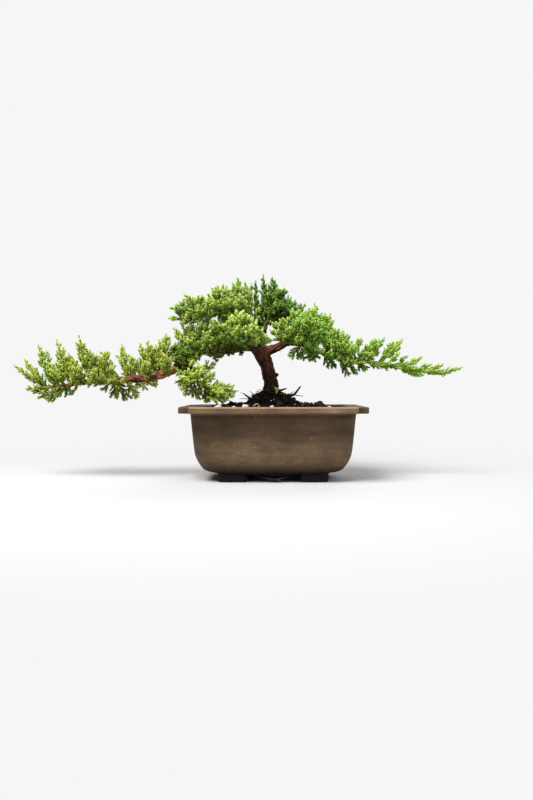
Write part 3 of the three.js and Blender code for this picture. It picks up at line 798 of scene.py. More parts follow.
def make_soil():
    fine = [(0.5, 0.06), (0.24, 0.35), (0.14, 0.6), (0.07, 0.8), (0.05, 0.93)]
    coarse = [(0.55, 0.08), (0.3, 0.35), (0.15, 0.55)]
    dark = [(0.8, 0.03), (0.2, 0.3)]
    parts = [soil_bed()] + crumbs(1050, 31, 1.0, 3.4, fine) + crumbs(230, 37, 2.0, 5.2, coarse)
    parts += crumbs(260, 41, 1.6, 5.0, dark, near=24)
    points, faces, numbers = combine(parts)
    points[:, 2] = points[:, 2].clip(FLOOR_HEIGHT + SOIL_FROM_POT, None)
    mesh = mesh_from("soil_and_crumbs", points, faces, numbers)
    add_piece("soil_and_crumbs", mesh, "potting_soil", potting_soil(), "soil")


def pebble(node, slot, finish, knobbly, seed):
    """A stone or a chip of bark that fills its node's box."""
    low, high = (np.array(corner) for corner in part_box(node))
    base, faces = ball(4)
    shape = base * (1 + knobbly * (rough(base * 4 + seed * 7, 2.6, 3, seed) - 0.5))[:, None]
    if slot == "loose_bark":
        blocky = np.sign(shape) * np.abs(shape) ** 0.6
        shape = blocky * (1 + 0.16 * np.sin(9 * blocky[:, 2:] + 3 * blocky[:, :1] + seed))
    shape = shape / np.abs(shape).max(0) * ((high - low) / 2) * 1000
    points = shape + ((low + high) / 2 - POT_MIDDLE) * 1000
    add_piece(node + "_worn", mesh_from(node, points, [faces], {}), slot, finish, node)


def make_litter():
    stone, bark, plastic = pale_stone(), loose_bark(), black_plastic()
    for i in range(1, 6):
        pebble(f"stone_{i}", "pale_stone", stone, 0.8, i)
    for i in range(1, 4):
        pebble(f"bark_chip_{i}", "loose_bark", bark, 0.7, 10 + i)
    for side in ("left", "right"):
        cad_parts["drain_screen_" + side].data.materials[0] = plastic


def make_wire():
    """The wire goes down through one screen, sags to the front and goes up through the other."""
    half = [(27.4, 2.6, 30), (27.4, 2.6, 22), (27.4, 2.6, 11), (26.5, -2, 5.4), (20, -19, 4.6),
            (14.5, -30, 4.6), (7, -35, 3.6)]
    other_half = [(-x, y, z) for x, y, z in half[::-1]]
    path = smooth_line(half + [(0, -36.5, 2.8)] + other_half, 10)
    turns = np.linspace(0, 1, 60)
    tail = np.stack([-5 + 11 * turns, -34 - 5.5 * turns + 0.55 * np.cos(turns * 18),
                     3.5 - 1.2 * turns + 0.45 * np.sin(turns * 18)], 1)
    parts = [(*tubes([line], [np.full(len(line), radius)], 12), {})
             for line, radius in ((path, 0.75), (tail, 0.6))]
    mesh = mesh_from("tie_down_wire", *combine(parts))
    add_piece("tie_down_wire", mesh, "dark_wire", dark_wire(), "anchor_wire")


# The wood: stations down the middle of each limb, with the radius there
LIMBS = {
    "trunk": [
        (-2, 0, 56, 10), (-2, 0, 66, 9), (-2, 0, 75.5, 7.2), (-2, 0, 82.5, 6.3),
        (-2.5, 0, 90.5, 5.9), (-5.5, 0, 100, 5.8), (-8.8, 0, 106.5, 6.8), (-12, 0, 114.5, 7.7)],
    "left_limb": [
        (-9.5, 0, 113, 6), (-23, 2, 118, 4.8), (-39.5, 3, 113.5, 4), (-56, 2, 113.5, 3.6),
        (-67.5, 0, 111, 3.6), (-73.5, -4, 103.5, 3.7), (-82, -7, 98, 3.7), (-95, -9, 92.3, 3.7),
        (-112.5, -10, 88.2, 3.8), (-132.5, -9, 86.8, 3.1), (-154, -8, 86, 2.4),
        (-174.5, -6, 83, 1.8), (-190, -4, 81.5, 1.5), (-204, -2, 80.5, 1.2)],
    "crown_limb": [
        (-11, 0, 114, 5.2), (-13.5, 6, 124, 4.2), (-12.5, 9, 134, 3.6), (-17, 8, 142, 3),
        (-27, 4.5, 146.6, 2.6), (-40, 0, 147.5, 2.2), (-56, -2, 146, 1.8), (-68.5, -3, 144.5, 1.4)],
    "apex_limb": [(-12.5, 9, 133, 3.2), (-3, 9, 141, 2.6), (3.5, 7, 148, 2.2), (6.5, 6, 155, 1.8)],
    "right_limb": [
        (-7, 0, 111.5, 5), (4.5, -3, 116, 3.6), (16, -6, 120.5, 3), (29, -7, 117.5, 2.8),
        (43, -6, 111.5, 2.6), (59, -4, 106, 2.3), (77, -2, 103.5, 2), (97, 0, 101.5, 1.6),
        (114, 1, 98.2, 1.3), (130, 1, 94.2, 1)],
    "front_left_limb": [(-13.5, -2, 115, 4), (-17.5, -16, 122.5, 3), (-23, -32, 127.5, 2.2)],
    "back_left_limb": [(-10, 3, 116.5, 4), (-13.5, 18, 124.5, 3), (-24, 36, 134, 2.2)],
    "front_right_limb": [(14, -6, 119.5, 2.8), (22.5, -20, 125.5, 2.4), (28.5, -35, 129, 1.6)],
    "back_right_limb": [(-5, 9, 139, 2.8), (7, 22, 140, 2.3), (21, 38, 137, 1.6)],
    "hanging_twig": [(-74.5, -4, 103.5, 2.4), (-67, -9, 89.5, 1.8), (-58.5, -12.5, 80, 1.3)],
    "front_root": [(-2, -3, 73, 5), (-6, -14, 66, 3.4), (-10, -25, 59, 1.8)],
    "left_root": [(-5, 0, 74, 5), (-16, -3, 67, 3.2), (-29, -6, 58, 1.6)],
    "right_root": [(0, 1, 73, 5), (12, 4, 67, 3.2), (27, 9, 57, 1.6)],
    "back_root": [(-3, 3, 73, 5), (-8, 14, 66, 3.2), (-12, 25, 58, 1.6)],
    "left_stub": [(-13, -5, 68.5, 1.8), (-19.5, -7, 70, 1.4), (-26, -8, 75, 1)],
    "right_stub": [
        (0, -2, 72, 3.2), (8, -5, 72.5, 2.3), (16, -6, 72, 1.8), (21, -7, 76.5, 1.4),
        (24.5, -7, 81.5, 1)],
    "right_nub": [(2, -4, 77.5, 1.8), (9, -5, 78, 1.3), (12, -5, 79.5, 1)],
    "knot": [(-1, -1, 91, 3), (4.2, -2, 91.5, 2.2)],
}


def limb_rows():
    """Fine points down every limb: place, way, radius, distance along it and limb number."""
    rows = []
    for number, stations in enumerate(LIMBS.values()):
        line = smooth_line(stations, 24)
        place = line[:, :3]
        way = unit(np.gradient(place, axis=0))
        limb = np.full(len(line), number)
        rows.append(np.column_stack([place, way, line[:, 3], travelled(place), limb]))
    return np.concatenate(rows)


def nearest_limb(points):
    """For each point, the place, way, radius, distance and number of the limb it belongs to."""
    batch = 4000
    rows = limb_rows()
    found = np.empty(len(points), int)
    for start in range(0, len(points), batch):
        some = points[start:start + batch]
        gap = np.linalg.norm(some[:, None] - rows[None, :, :3], axis=2) - rows[None, :, 6]
        found[start:start + batch] = gap.argmin(1)
    near = rows[found]
    return near[:, :3], near[:, 3:6], near[:, 6], near[:, 7], near[:, 8]


def bark_relief(points):
    """Strips of bark along each limb: how far each point stands out, and which strip it is on."""
    place, way, radius, length, limb = nearest_limb(points)
    off = points - place
    sideways = off - way * (off * way).sum(1, keepdims=True)
    twist = (0.035 * length + limb)[:, None]
    side = unit(np.cross(way, (0.12, 0.31, 0.94)) * np.cos(twist)
                + np.cross(way, (0.9, 0.2, 0.3)) * np.sin(twist))
    around = np.column_stack([(sideways * side).sum(1), (sideways * np.cross(way, side)).sum(1)])
    spot = np.column_stack([around, length * 0.16 + 40 * limb])
    strips = lumps(spot, 1.0, 51) * 0.6 + lumps(spot * (1, 1, 1.8), 0.55, 52) * 0.4
    edges = 1 - np.abs(2 * strips - 1)
    knobs = rough(points, 5.0, 2, 57) - 0.5
    flakes = lumps(np.column_stack([around * 1.3, length * 0.35 + 13 * limb]), 1.0, 55)
    height = 1.1 * (strips - 0.5) - 0.35 * edges ** 6 + 0.8 * (flakes - 0.6).clip(0) + 0.8 * knobs
    height = height * np.interp(radius, [1, 2, 4, 8], [0.35, 0.55, 0.95, 1.5])
    relief = (0.5 + 0.9 * (strips - 0.5) + 0.5 * knobs).clip(0, 1)
    return height, strips, relief, radius, limb


def bark_flakes(count, seed, points, ways):
    """Thin curled plates of bark that lift off the trunk and thicker limbs."""
    dice = np.random.default_rng(seed)
    parts = []
    chosen = dice.choice(len(points), count * 6, replace=False)
    thinnest, lowest, thickness = 2.2, 70, 0.22
    rim = [0, 1, 2, 5, 8, 11, 14, 17, 16, 15, 12, 9, 6, 3]
    faces = []
    for a in (3 * i + j for i in range(5) for j in range(2)):
        faces += [(a, a + 1, a + 4, a + 3), (18 + a, 21 + a, 22 + a, 19 + a)]
    faces += [(a, 18 + a, 18 + b, b) for a, b in zip(rim, rim[1:] + rim[:1])]
    faces = np.array(faces)[:, ::-1]
    _, limb_ways, radii, _, limbs = nearest_limb(points[chosen])
    for spot, limb_way, radius, limb in zip(chosen, limb_ways, radii, limbs):
        if len(parts) >= count:
            break
        if radius < thinnest or points[spot, 2] < lowest:
            continue
        out = ways[spot]
        along = unit(limb_way - out * (limb_way @ out))
        side = np.cross(out, along)
        long, wide = dice.uniform(1.6, 4.6) * min(1.2, radius / 3.5), dice.uniform(0.5, 1.1)
        curl, lift = dice.uniform(0.1, 0.5), dice.uniform(0.2, 0.9)
        top = []
        for u in np.linspace(-1, 1, 6):
            width = wide * math.sqrt(max(0.08, 1 - abs(u) ** 2.5)) * dice.uniform(0.8, 1.1)
            for v in (-1, 0, 1):
                high = 0.05 + lift * (0.5 + 0.5 * u) ** 2 + curl * v * v * 0.5
                forward = along * u * long / 2 * dice.uniform(0.96, 1.04)
                top.append(points[spot] + forward + side * v * width / 2 + out * high)
        top = np.array(top)
        numbers = {"strips": dice.uniform(0.35, 0.95), "relief": 0.8,
                   "trunk": float(limb == 0), "damp": 0.0}
        parts.append((np.concatenate([top, top - out * thickness]), [faces], numbers))
    return parts


# Snapped roots that stand out of the mound: where each starts, its way and its length
SNAPPED_ROOTS = [
    ((-18, -6, 70), (-0.8, -0.1, 0.55), 13), ((-15, -5, 71), (-0.55, 0, 0.8), 9),
    ((-21, -7, 70), (-0.9, 0, 0.2), 9), ((14, -6, 72), (0.5, -0.2, 0.8), 8),
    ((20, -6, 73), (0.95, 0, 0.1), 7), ((11, -4, 70), (0.9, -0.3, 0.3), 9),
]
# Short bare twigs on the older wood: the limb, the stretch of it that carries them and how many
BARE_TWIGS = [("left_limb", 0.1, 0.85, 34), ("right_limb", 0.1, 0.7, 20),
              ("crown_limb", 0.2, 0.9, 16), ("trunk", 0.45, 0.9, 6)]


def root_hairs(seed):
    """Fine roots and snapped twiglets in the mound round the trunk and on the older wood."""
    dice = np.random.default_rng(seed)
    parts = []

    def thread(start, way, length, radius, droop, damp):
        steps = np.linspace(0, 1, 7)[:, None]
        sway = across(way)[0] * length * dice.uniform(-0.25, 0.25)
        line = np.array(start) + way * length * steps + sway * np.sin(steps * dice.uniform(2, 4))
        line = line + np.array((0, 0, -droop)) * steps ** 2
        points, faces = tubes([line], [np.linspace(radius, radius * 0.4, 7)], 5)
        numbers = {"strips": dice.uniform(0.3, 0.8), "relief": 0.6, "trunk": 0.0, "damp": damp}
        parts.append((points, faces, numbers))

    for _ in range(90):
        turn, far = dice.uniform(0, FULL_TURN), dice.uniform(5, 17)
        x, y = round_trunk(turn, far)
        way = unit(np.array((math.cos(turn) + dice.normal() * 0.5,
                             math.sin(turn) + dice.normal() * 0.5, dice.uniform(0.0, 0.9))))
        thread((x, y, ground_at(x, y) - 0.6), way, dice.uniform(4, 11), dice.uniform(0.2, 0.5),
               dice.uniform(1, 7), dice.uniform(0.6, 1))
    for start, way, length in SNAPPED_ROOTS:
        thread(start, unit(np.array(way, float)), length, 0.45, 1.5, 0.7)
    for name, low, high, count in BARE_TWIGS:
        line = smooth_line(LIMBS[name], 24)
        for _ in range(count):
            row = line[int(len(line) * dice.uniform(low, high))]
            way = unit(dice.normal(size=3) * (0.7, 0.7, 1))
            thread(row[:3] + way * row[3] * 0.7, way, dice.uniform(2.0, 4.5),
                   dice.uniform(0.25, 0.45), 0, 0.0)
    return parts


def even_wood():
    """The CAD wood with an even, softened skin: points, outward ways and four-sided faces."""
    wood = new_object("wood_form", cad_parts["tree_wood"].data.copy())
    remesh = wood.modifiers.new("even", "REMESH")
    remesh.mode, remesh.voxel_size = "VOXEL", 0.00062
    soften = wood.modifiers.new("soften", "SMOOTH")
    soften.factor, soften.iterations = 0.5, 12
    apply_modifiers(wood)
    mesh = wood.data
    skin = millimetres(mesh), point_vectors(mesh, "normal"), face_corners(mesh).reshape(-1, 4)
    bpy.data.objects.remove(wood)
    return skin


def make_wood():
    points, ways, faces = even_wood()
    height, strips, relief, radius, limb = bark_relief(points)
    points = points + ways * height[:, None]
    x, y, z = points.T
    damp_reach, damp_height = 34, 26
    above = z - soil_height(x, y)
    near_trunk = np.hypot(x - TRUNK_FOOT[0], y - TRUNK_FOOT[1]) < damp_reach
    roots = [i for i, name in enumerate(LIMBS) if name.endswith(("stub", "root", "nub"))]
    damp = np.maximum((1 - (above - 1) / damp_height).clip(0, 1), 0.85 * np.isin(limb, roots))
    trunk = np.maximum(np.interp(radius, [3.9, 5.4], [0, 1]),
                       np.interp(np.abs(x), [26, 52], [0.9, 0]))
    numbers = {"strips": strips, "relief": relief, "trunk": trunk, "damp": near_trunk * damp}
    parts = [(points, [faces], numbers)] + bark_flakes(420, 61, points, ways) + root_hairs(63)
    mesh = mesh_from("living_wood", *combine(parts))
    add_piece("living_wood", mesh, "bark", bark_brown(), "tree_wood")


# The foliage. Each leading shoot of a spray: where it starts on its limb, where its tip is, and
# how far its side shoots reach.
LEADERS = {
    "left_tip_spray": [
        (-203, -2, 82.5, -230.5, -2, 100.5, 4.6), (-203, -2, 81, -223, 4, 106, 5),
        (-198, -3, 81, -212, 6, 86, 4.5)],
    "left_spray_1": [
        (-201, -3, 81, -210, -10, 98, 4.5), (-193, -4, 81, -208, -4, 118.5, 7),
        (-189, -4, 82, -197, -12, 103, 6), (-190, -4, 81, -205, 12, 98, 6)],
    "left_spray_2": [
        (-179, -5, 82, -192, -2, 123.5, 7), (-185, -5, 82, -188, -9, 104, 6),
        (-183, -5, 82, -190, -24, 95, 7), (-174, -6, 83, -183, 4, 111, 6.5),
        (-183, -5, 82, -191, -12, 72, 6), (-178, -6, 83, -186, 2, 74, 6.5),
        (-172, -6, 83, -177, -8, 75, 6)],
    "left_spray_3": [
        (-161, -7, 85, -171, -8, 127, 7.4), (-172, -6, 83, -177, -6, 108, 5.5),
        (-167, -7, 84, -171, -30, 98, 8), (-167, -7, 84, -182, 20, 105, 8),
        (-155, -8, 86, -162, -4, 114, 7), (-167, -7, 84, -174, -8, 82.5, 3.8),
        (-158, -8, 86, -161, -14, 81, 4.5), (-170, -7, 84, -176, -19, 87, 4.5),
        (-164, -8, 85, -167, -21, 91, 5), (-158, -9, 85, -160, -21, 86, 5)],
    "left_spray_4": [
        (-146, -8, 86, -147, -10, 112, 8), (-149, -8, 86, -158, 6, 109, 7),
        (-150, -8, 86, -154, -32, 92, 8), (-145, -8, 86, -160, 20, 98, 8),
        (-152, -9, 85, -155, -21, 85, 5), (-147, -9, 85, -148, -21, 88, 5),
        (-143, -9, 86, -142, -21, 85, 5)],
    "left_spray_5": [
        (-127, -9, 87, -133, -8, 119, 6.5), (-121, -10, 87, -125, -14, 109, 5.5),
        (-124, -10, 87, -136, 18, 100, 7)],
    "left_spray_6": [
        (-115, -10, 87, -120, -4, 106, 5.5), (-109, -10, 88, -116.5, -10, 120, 5.6),
        (-106, -10, 89, -109, -14, 122, 5.6), (-108, -10, 88, -109, -34, 102, 7),
        (-104, -10, 89, -114, 20, 105, 8), (-112, -10, 88, -105, -10, 81, 4.5),
        (-120, -10, 87, -118, 0, 81, 4.5), (-126, -10, 86, -124, -12, 78, 5),
        (-116, -10, 86, -111, -12, 78.5, 5), (-108, -10, 88, -101, -12, 82, 4.5)],
    "left_spray_7": [
        (-102, -10, 90, -107, -4, 118, 6.5), (-97, -9, 91, -100, -12, 123, 6.8),
        (-93, -9, 93, -94.5, -6, 129, 7), (-92, -9, 93, -92, -34, 108, 8),
        (-94, -9, 92, -103, 16, 112, 8)],
    "left_spray_8": [
        (-85, -8, 97, -87, -10, 118, 8), (-79, -6, 100, -78, -26, 112, 8),
        (-80, -7, 99, -86, 14, 112, 8), (-82, -9, 98, -85, -22, 106, 5.5),
        (-79, -8, 99, -77, -24, 103, 6), (-77, -7, 101, -72, -20, 116, 6.5),
        (-76, -6, 102, -80, -16, 118, 6.5)],
    "left_under_spray_1": [
        (-196, -3, 81, -218, -8, 79, 6), (-187, -4, 82, -200, -4, 68, 7.5),
        (-191, -4, 81, -208, -5, 71, 6.5)],
    "left_under_spray_2": [
        (-138, -9, 86, -140, -20, 98, 6), (-135, -9, 86, -148, 14, 92, 6),
        (-142, -9, 86, -150, -12, 77, 6.5), (-136, -9, 86, -129, -6, 68, 7.5),
        (-130, -9, 87, -117, -14, 71, 6.5), (-140, -9, 86, -140, 4, 72, 7),
        (-137, -9, 86, -137, -10, 70, 6.5), (-139, -10, 86, -137, -22, 88, 5),
        (-134, -10, 86, -129, -21, 86, 4.5), (-136, -10, 85, -134, -18, 79, 5)],
    "hanging_spray_1": [
        (-71, -2, 106, -72, -16, 110, 8), (-68, 0, 111, -66, -22, 107, 6),
        (-72, -6, 98, -82, -10, 80, 8), (-69, -8, 92, -78, -20, 75, 8),
        (-68, -9, 90, -72, -4, 71, 7.5), (-64, -10, 86, -66, -14, 69, 7.5),
        (-71, -7, 96, -74, -32, 86, 10), (-68, -8, 92, -62, -32, 92, 9),
        (-72, -5, 99, -80, 10, 91, 9), (-69, -8, 93, -50, -12, 102, 6),
        (-65, -10, 90, -50, -16, 90, 5.5), (-73, -7, 102, -70, -23, 101, 6),
        (-71, -8, 97, -60, -22, 98, 6.5), (-73, -6, 100, -84, -20, 92, 6),
        (-69, -9, 93, -76, -26, 85, 7), (-70, -4, 108, -64, -14, 112, 5)],
    "hanging_spray_2": [
        (-63, -11, 85, -51, -20, 92.5, 5.2), (-63, -11, 85, -56, -28, 83, 7),
        (-58, -12, 80, -43, -16, 84, 5), (-58, -12, 80, -33, -20, 82, 5.4),
        (-58, -12, 80, -30, -18, 77, 6), (-58, -12, 80, -38, -16, 68.5, 7),
        (-58, -12, 80, -33, -16, 72, 5.5), (-58, -12, 80, -47, -24, 67.5, 7.5),
        (-60, -12, 81, -57, -12, 67, 6.5), (-58, -12, 80, -42, -34, 76, 6),
        (-59, -12, 80, -51, 4, 76, 6)],
    "left_pad_1": [
        (-65, 1, 112, -88.5, -8, 133, 6), (-67, 0, 111, -85, -16, 126, 6),
        (-62, 1, 113, -83, 0, 138, 7), (-60, 2, 113, -73, -14, 137, 8.5),
        (-62, 1, 113, -73, -30, 121, 9), (-65, 1, 112, -80, 10, 120, 8)],
    "left_pad_2": [
        (-53, 2, 114, -64, -20, 136, 10), (-52, 2, 114, -57, -40, 123, 10),
        (-44, 3, 113, -51, -28, 136, 10.5), (-53, 2, 114, -56, -28, 117, 8),
        (-56, -2, 146, -64, -30, 146, 9)],
    "left_pad_3": [
        (-40, 3, 113, -43, -44, 123, 10), (-33, 3, 115, -36, -22, 135, 10),
        (-29, 3, 117, -30, -34, 122, 8.5), (-33, 3, 115, -41, 28, 133, 9),
        (-36, 3, 114, -41, -24, 116, 7), (-33, 3, 115, -36, -10, 111, 4.5),
        (-28, 2, 117, -29, -12, 109, 4.5), (-24, 2, 118, -23, -16, 113, 4)],
    "left_pad_4": [
        (-53, 2, 114, -67, 26, 133, 11), (-60, 2, 113, -77, 34, 132, 10),
        (-40, 3, 113, -52, 22, 137, 10)],
    "crown_tip_spray": [
        (-67, -3, 145, -93, -4, 141, 5), (-67, -3, 145, -91, -10, 151, 6),
        (-65, -3, 145, -84, -4, 156, 6.5), (-63, -3, 145, -76, -18, 142, 7),
        (-63, -3, 145, -81, -12, 137, 6), (-60, -2, 146, -74, -6, 160, 6.5),
        (-61, -2, 146, -79, -8, 163.5, 5), (-60, -2, 146, -67, -14, 137, 6)],
    "crown_spray_1": [
        (-58, -2, 146, -67, -14, 158, 7.5), (-53, -2, 146, -62, -4, 159, 7.5),
        (-47, -1, 147, -54, -10, 166, 8), (-58, -2, 146, -70, 18, 155, 9),
        (-54, -2, 146, -59, -12, 136, 6)],
    "crown_spray_2": [
        (-43, 0, 147, -49, -6, 171, 8), (-37, 1, 148, -42, -12, 166, 8),
        (-38, 0, 148, -41, -16, 137, 7)],
    "crown_spray_3": [
        (-31, 2, 147, -36, -2, 174, 5.5), (-29, 3, 147, -32, 0, 179, 5.5),
        (-26, 4, 147, -29, -24, 155, 9), (-24, 6, 146, -33, 20, 165, 6.5),
        (-20, 7, 144, -25.5, 4, 176, 5.2), (-20, 7, 145, -19.5, 5, 174, 2.8),
        (-18, 8, 143, -12, 4, 152, 4)],
    "crown_spray_4": [
        (-45, -1, 147, -51, -34, 151, 10.5), (-47, -1, 147, -58, 20, 160, 10),
        (-33, 2, 148, -41, 22, 164, 10), (-35, 1, 148, -39, -32, 152, 10.5)],
    "apex_spray_1": [
        (-15, 8, 139, -15.5, 6, 176, 4), (-10, 9, 136, -14, -8, 141, 5.5),
        (-6, 9, 138, -9, -5, 131, 6), (-5, 9, 139, -8.8, 6, 182, 5.2),
        (-2, 9, 141, -4, 6, 173, 5.5), (-6, 9, 138, -9, 5, 168, 4.4),
        (-9, 9, 137, -11, 4, 156, 3.6), (0, 8, 144, -3, -10, 164, 7), (-3, 9, 141, 1, -8, 137, 5.5),
        (0, 8, 143, 6, -10, 136, 6), (1, 8, 144, 10, -8, 137, 6), (-3, 9, 141, -2, -6, 150, 5.5)],
    "apex_spray_2": [
        (5, 7, 150, -1, 4, 179, 6.4), (6, 6, 153, 1, 8, 175, 4.6), (6, 7, 152, 5, -6, 167, 7),
        (6, 7, 152, 9, 2, 167, 6.5)],
    "apex_spray_3": [
        (4, 7, 148, 9, -18, 152, 9), (5, 7, 148, 14, -4, 155, 7.5), (3, 7, 147, 21, 2, 152, 8),
        (1, 8, 145, 15, -16, 147, 8), (1, 8, 145, -4, 24, 163, 9), (4, 7, 148, 7, 26, 158, 9),
        (2, 8, 146, 18, 22, 155, 9), (1, 8, 145, 2, -20, 151, 8), (1, 8, 145, 24, 10, 147, 7)],
    "front_spray_1": [
        (-23, -32, 128, -44, -52, 131, 6.5), (-23, -32, 128, -37, -54, 137, 8),
        (-23, -31, 127, -27, -52, 118, 7), (-22, -29, 127, -19, -64, 126, 9),
        (-23, -32, 128, -33, -60, 125, 8.5)],
    "front_spray_2": [
        (-23, -32, 127, -28, -50, 141, 8), (-22, -29, 127, -18, -48, 137, 8),
        (-20, -23, 125, -10, -44, 128, 6.5), (-20, -23, 125, -14, -54, 119, 6)],
    "front_spray_3": [(-18, -18, 123, -4, -40, 122, 5.5), (-16, -12, 121, 0, -36, 120, 4.5)],
    "front_spray_4": [
        (26, -27, 127, 23, -52, 134, 10), (28, -33, 129, 32, -50, 134, 10),
        (28, -34, 129, 40, -52, 124, 9.5), (28, -34, 129, 48, -48, 117, 8),
        (27, -30, 128, 37, -46, 115, 8), (24, -24, 127, 24, -46, 120, 8)],
    "front_spray_5": [(23, -21, 126, 19, -40, 143, 9), (20, -15, 124, 12, -34, 130, 6.5)],
    "front_spray_6": [
        (18, -12, 122, 5, -24, 139, 6.5), (16, -10, 121, -3.5, -26, 129.5, 6.5),
        (17, -11, 122, 12, -22, 141, 7), (18, -12, 122, -2.5, -20, 137.5, 6.5),
        (19, -14, 123, 15, -28, 131, 6.5), (16, -10, 121, 1, -24, 124, 5)],
    "back_spray_1": [
        (-24, 36, 134, -49, 62, 155, 13), (-24, 36, 134, -39, 50, 161, 12),
        (-24, 36, 134, -26, 60, 159, 12), (-24, 36, 134, -58, 56, 143, 12),
        (-24, 36, 134, -36, 70, 148, 11)],
    "back_spray_2": [(-23, 34, 133, -12, 52, 144, 10), (-19, 27, 129, -8, 40, 142, 8)],
    "back_spray_3": [
        (18, 34, 138, 30, 54, 157, 12), (21, 38, 137, 48, 62, 150, 12),
        (21, 38, 137, 55, 52, 139, 11), (21, 38, 137, 37, 66, 140, 11)],
    "back_spray_4": [(11, 27, 139, 17, 46, 158, 12), (5, 20, 140, 11, 36, 150, 9)],
    "right_spray_1": [
        (26, -7, 118, 20, -8, 145, 8.5), (29, -7, 118, 25, -4, 146.5, 8),
        (33, -7, 116, 31, -10, 149, 9), (39, -6, 113, 36.5, -4, 155.5, 8),
        (33, -7, 116, 31, 6, 106, 6.5), (23, -8, 119, 20, -23, 119, 6),
        (28, -8, 118, 28, -24, 111, 6.5), (34, -8, 116, 36, -25, 112, 6.5),
        (24, -7, 119, 14, -16, 124, 5)],
    "right_spray_2": [
        (46, -6, 110, 45.5, -12, 146, 8.5), (48, -5, 109, 51, 2, 146.5, 7.5),
        (46, -6, 110, 49, -26, 129, 9), (54, -5, 108, 55, -4, 133, 7.5),
        (38, -7, 114, 41, 16, 140, 10), (36, -7, 114, 36, -14, 103, 6),
        (45, -6, 111, 49, -10, 96.5, 5.5), (40, -7, 113, 43, -24, 110, 6.5),
        (47, -7, 110, 50, -23, 108, 6)],
    "right_spray_3": [
        (59, -4, 106, 61, -10, 131, 6.5), (56, -4, 107, 55, -28, 119, 8),
        (65, -3, 105, 67, -2, 127, 6), (66, -3, 105, 68, -18, 116, 7),
        (67, -3, 105, 78, -6, 124.5, 6), (52, -5, 108, 58, 20, 127, 9),
        (61, -4, 106, 66, 20, 118, 8), (74, -2, 104, 77, -18, 112, 6),
        (54, -6, 108, 57, -22, 105, 6), (60, -5, 106, 64, -20, 102, 5.5),
        (67, -4, 105, 71, -18, 101, 5.5), (75, -3, 104, 79, -17, 101, 5),
        (74, -2, 104, 81, -8, 94.5, 5)],
    "right_spray_4": [
        (77, -2, 103, 82, 12, 109, 4.5), (79, -2, 103, 90.5, -4, 124, 6.2),
        (82, -2, 103, 99, -2, 125, 6.4), (82, -2, 103, 86, -15, 110, 4.5),
        (85, -1, 103, 90, 12, 110, 4.5), (76, -2, 104, 83, -6, 95, 5),
        (86, -1, 102, 90, -10, 98, 4), (83, -2, 103, 87, -14, 102, 4.2),
        (84, -1, 103, 99, -3, 99, 4.2)],
    "right_spray_5": [
        (94, 0, 103, 115.5, 0, 124, 7), (96, 0, 102, 108, 3, 120, 6),
        (101, 0, 101, 112, -8, 111, 4), (93, 0, 102, 102, -3, 96, 3.4),
        (96, -1, 101, 104, -10, 101, 3.6), (97, 0, 101, 112, 1, 98, 3.6),
        (104, 0, 100, 113, -6, 97, 3.2)],
    "right_under_spray_1": [
        (25, -7, 119, 14, -14, 106, 6), (29, -7, 117, 23, -16, 104, 6.5),
        (32, -7, 116, 33, -16, 105, 5)],
    "right_under_spray_2": [
        (50, -5, 109, 55, 4, 98.5, 5.5), (59, -4, 106, 67, -8, 89.5, 6),
        (65, -3, 105, 75, 0, 91, 5.5)],
    "right_tip_spray": [
        (113, 1, 98, 133.5, 0, 107.5, 5), (112, 1, 99, 118, -2, 109, 4),
        (108, 0, 100, 131, -4, 97, 4), (116, 1, 98, 146, -3, 95, 4),
        (132, 1, 94.5, 169.5, 2, 98, 4.6), (125, 1, 96, 141, -2, 101, 3.4),
        (98, 0, 101, 118, -5, 101, 4), (106, 0, 100, 124, 4, 99.5, 3.6),
        (134, 1, 94.5, 152, 1, 101, 3.8), (113, 1, 98, 131, 0, 89.5, 2.8),
        (118, 1, 97, 134, -3, 91, 2.6), (140, 1, 95, 154, 1, 93.5, 2)],
    "small_spray": [
        (-56, 2, 113, -53, 1, 107, 3), (-53, 2, 113, -50, -2, 102, 3.6),
        (-52, 2, 113, -45, -6, 106, 3.2)],
}

# Greens from old needles to the growing tips, one for each group of sprays. Besides real hue, their
# brightness holds painted light and shade for where each group stands; apex is a dark copy painted
# as shade.
GREENS = {
    "left_branch": ((30, 38, 0), (138, 152, 26), (180, 196, 76), (198, 212, 152)),
    "crown": ((10, 21, 0), (116, 144, 22), (180, 206, 80), (204, 220, 156)),
    "apex": ((2, 6, 0), (32, 52, 0), (106, 146, 32), (194, 218, 118)),
    "right_side": ((26, 44, 0), (120, 162, 28), (170, 202, 82), (198, 218, 152)),
    "front_spray": ((8, 16, 0), (132, 164, 30), (208, 232, 112), (228, 240, 170)),
    "hanging_spray": ((60, 74, 4), (172, 198, 56), (206, 224, 108), (222, 232, 168)),
    "right_tip": ((64, 92, 2), (142, 180, 46), (176, 204, 90), (202, 218, 150)),
}
FADED = ((120, 116, 50), (178, 178, 88), (206, 204, 112), (226, 222, 150))
# The green of each spray: the first line with a start of its name. The sprays in the first line
# stand in shade and take the dark apex green as painted shade.
GREEN_OF_SPRAY = [
    (("left_spray_8", "left_pad_3", "apex", "back"), "apex"),
    (("left_tip", "left_spray", "left_under"), "left_branch"),
    (("right_tip", "right_spray_5"), "right_tip"),
    (("hanging",), "hanging_spray"),
    (("front_spray_1", "front_spray_2", "front_spray_3"), "front_spray"),
    (("front_spray_6", "left", "crown", "small"), "crown"),
    (("right", "front"), "right_side"),
]
# How far side shoots reach at each share of their leader's length
REACH = ([0, 0.1, 0.35, 0.7, 0.9, 1], [0.6, 0.85, 1, 0.66, 0.26, 0.15])
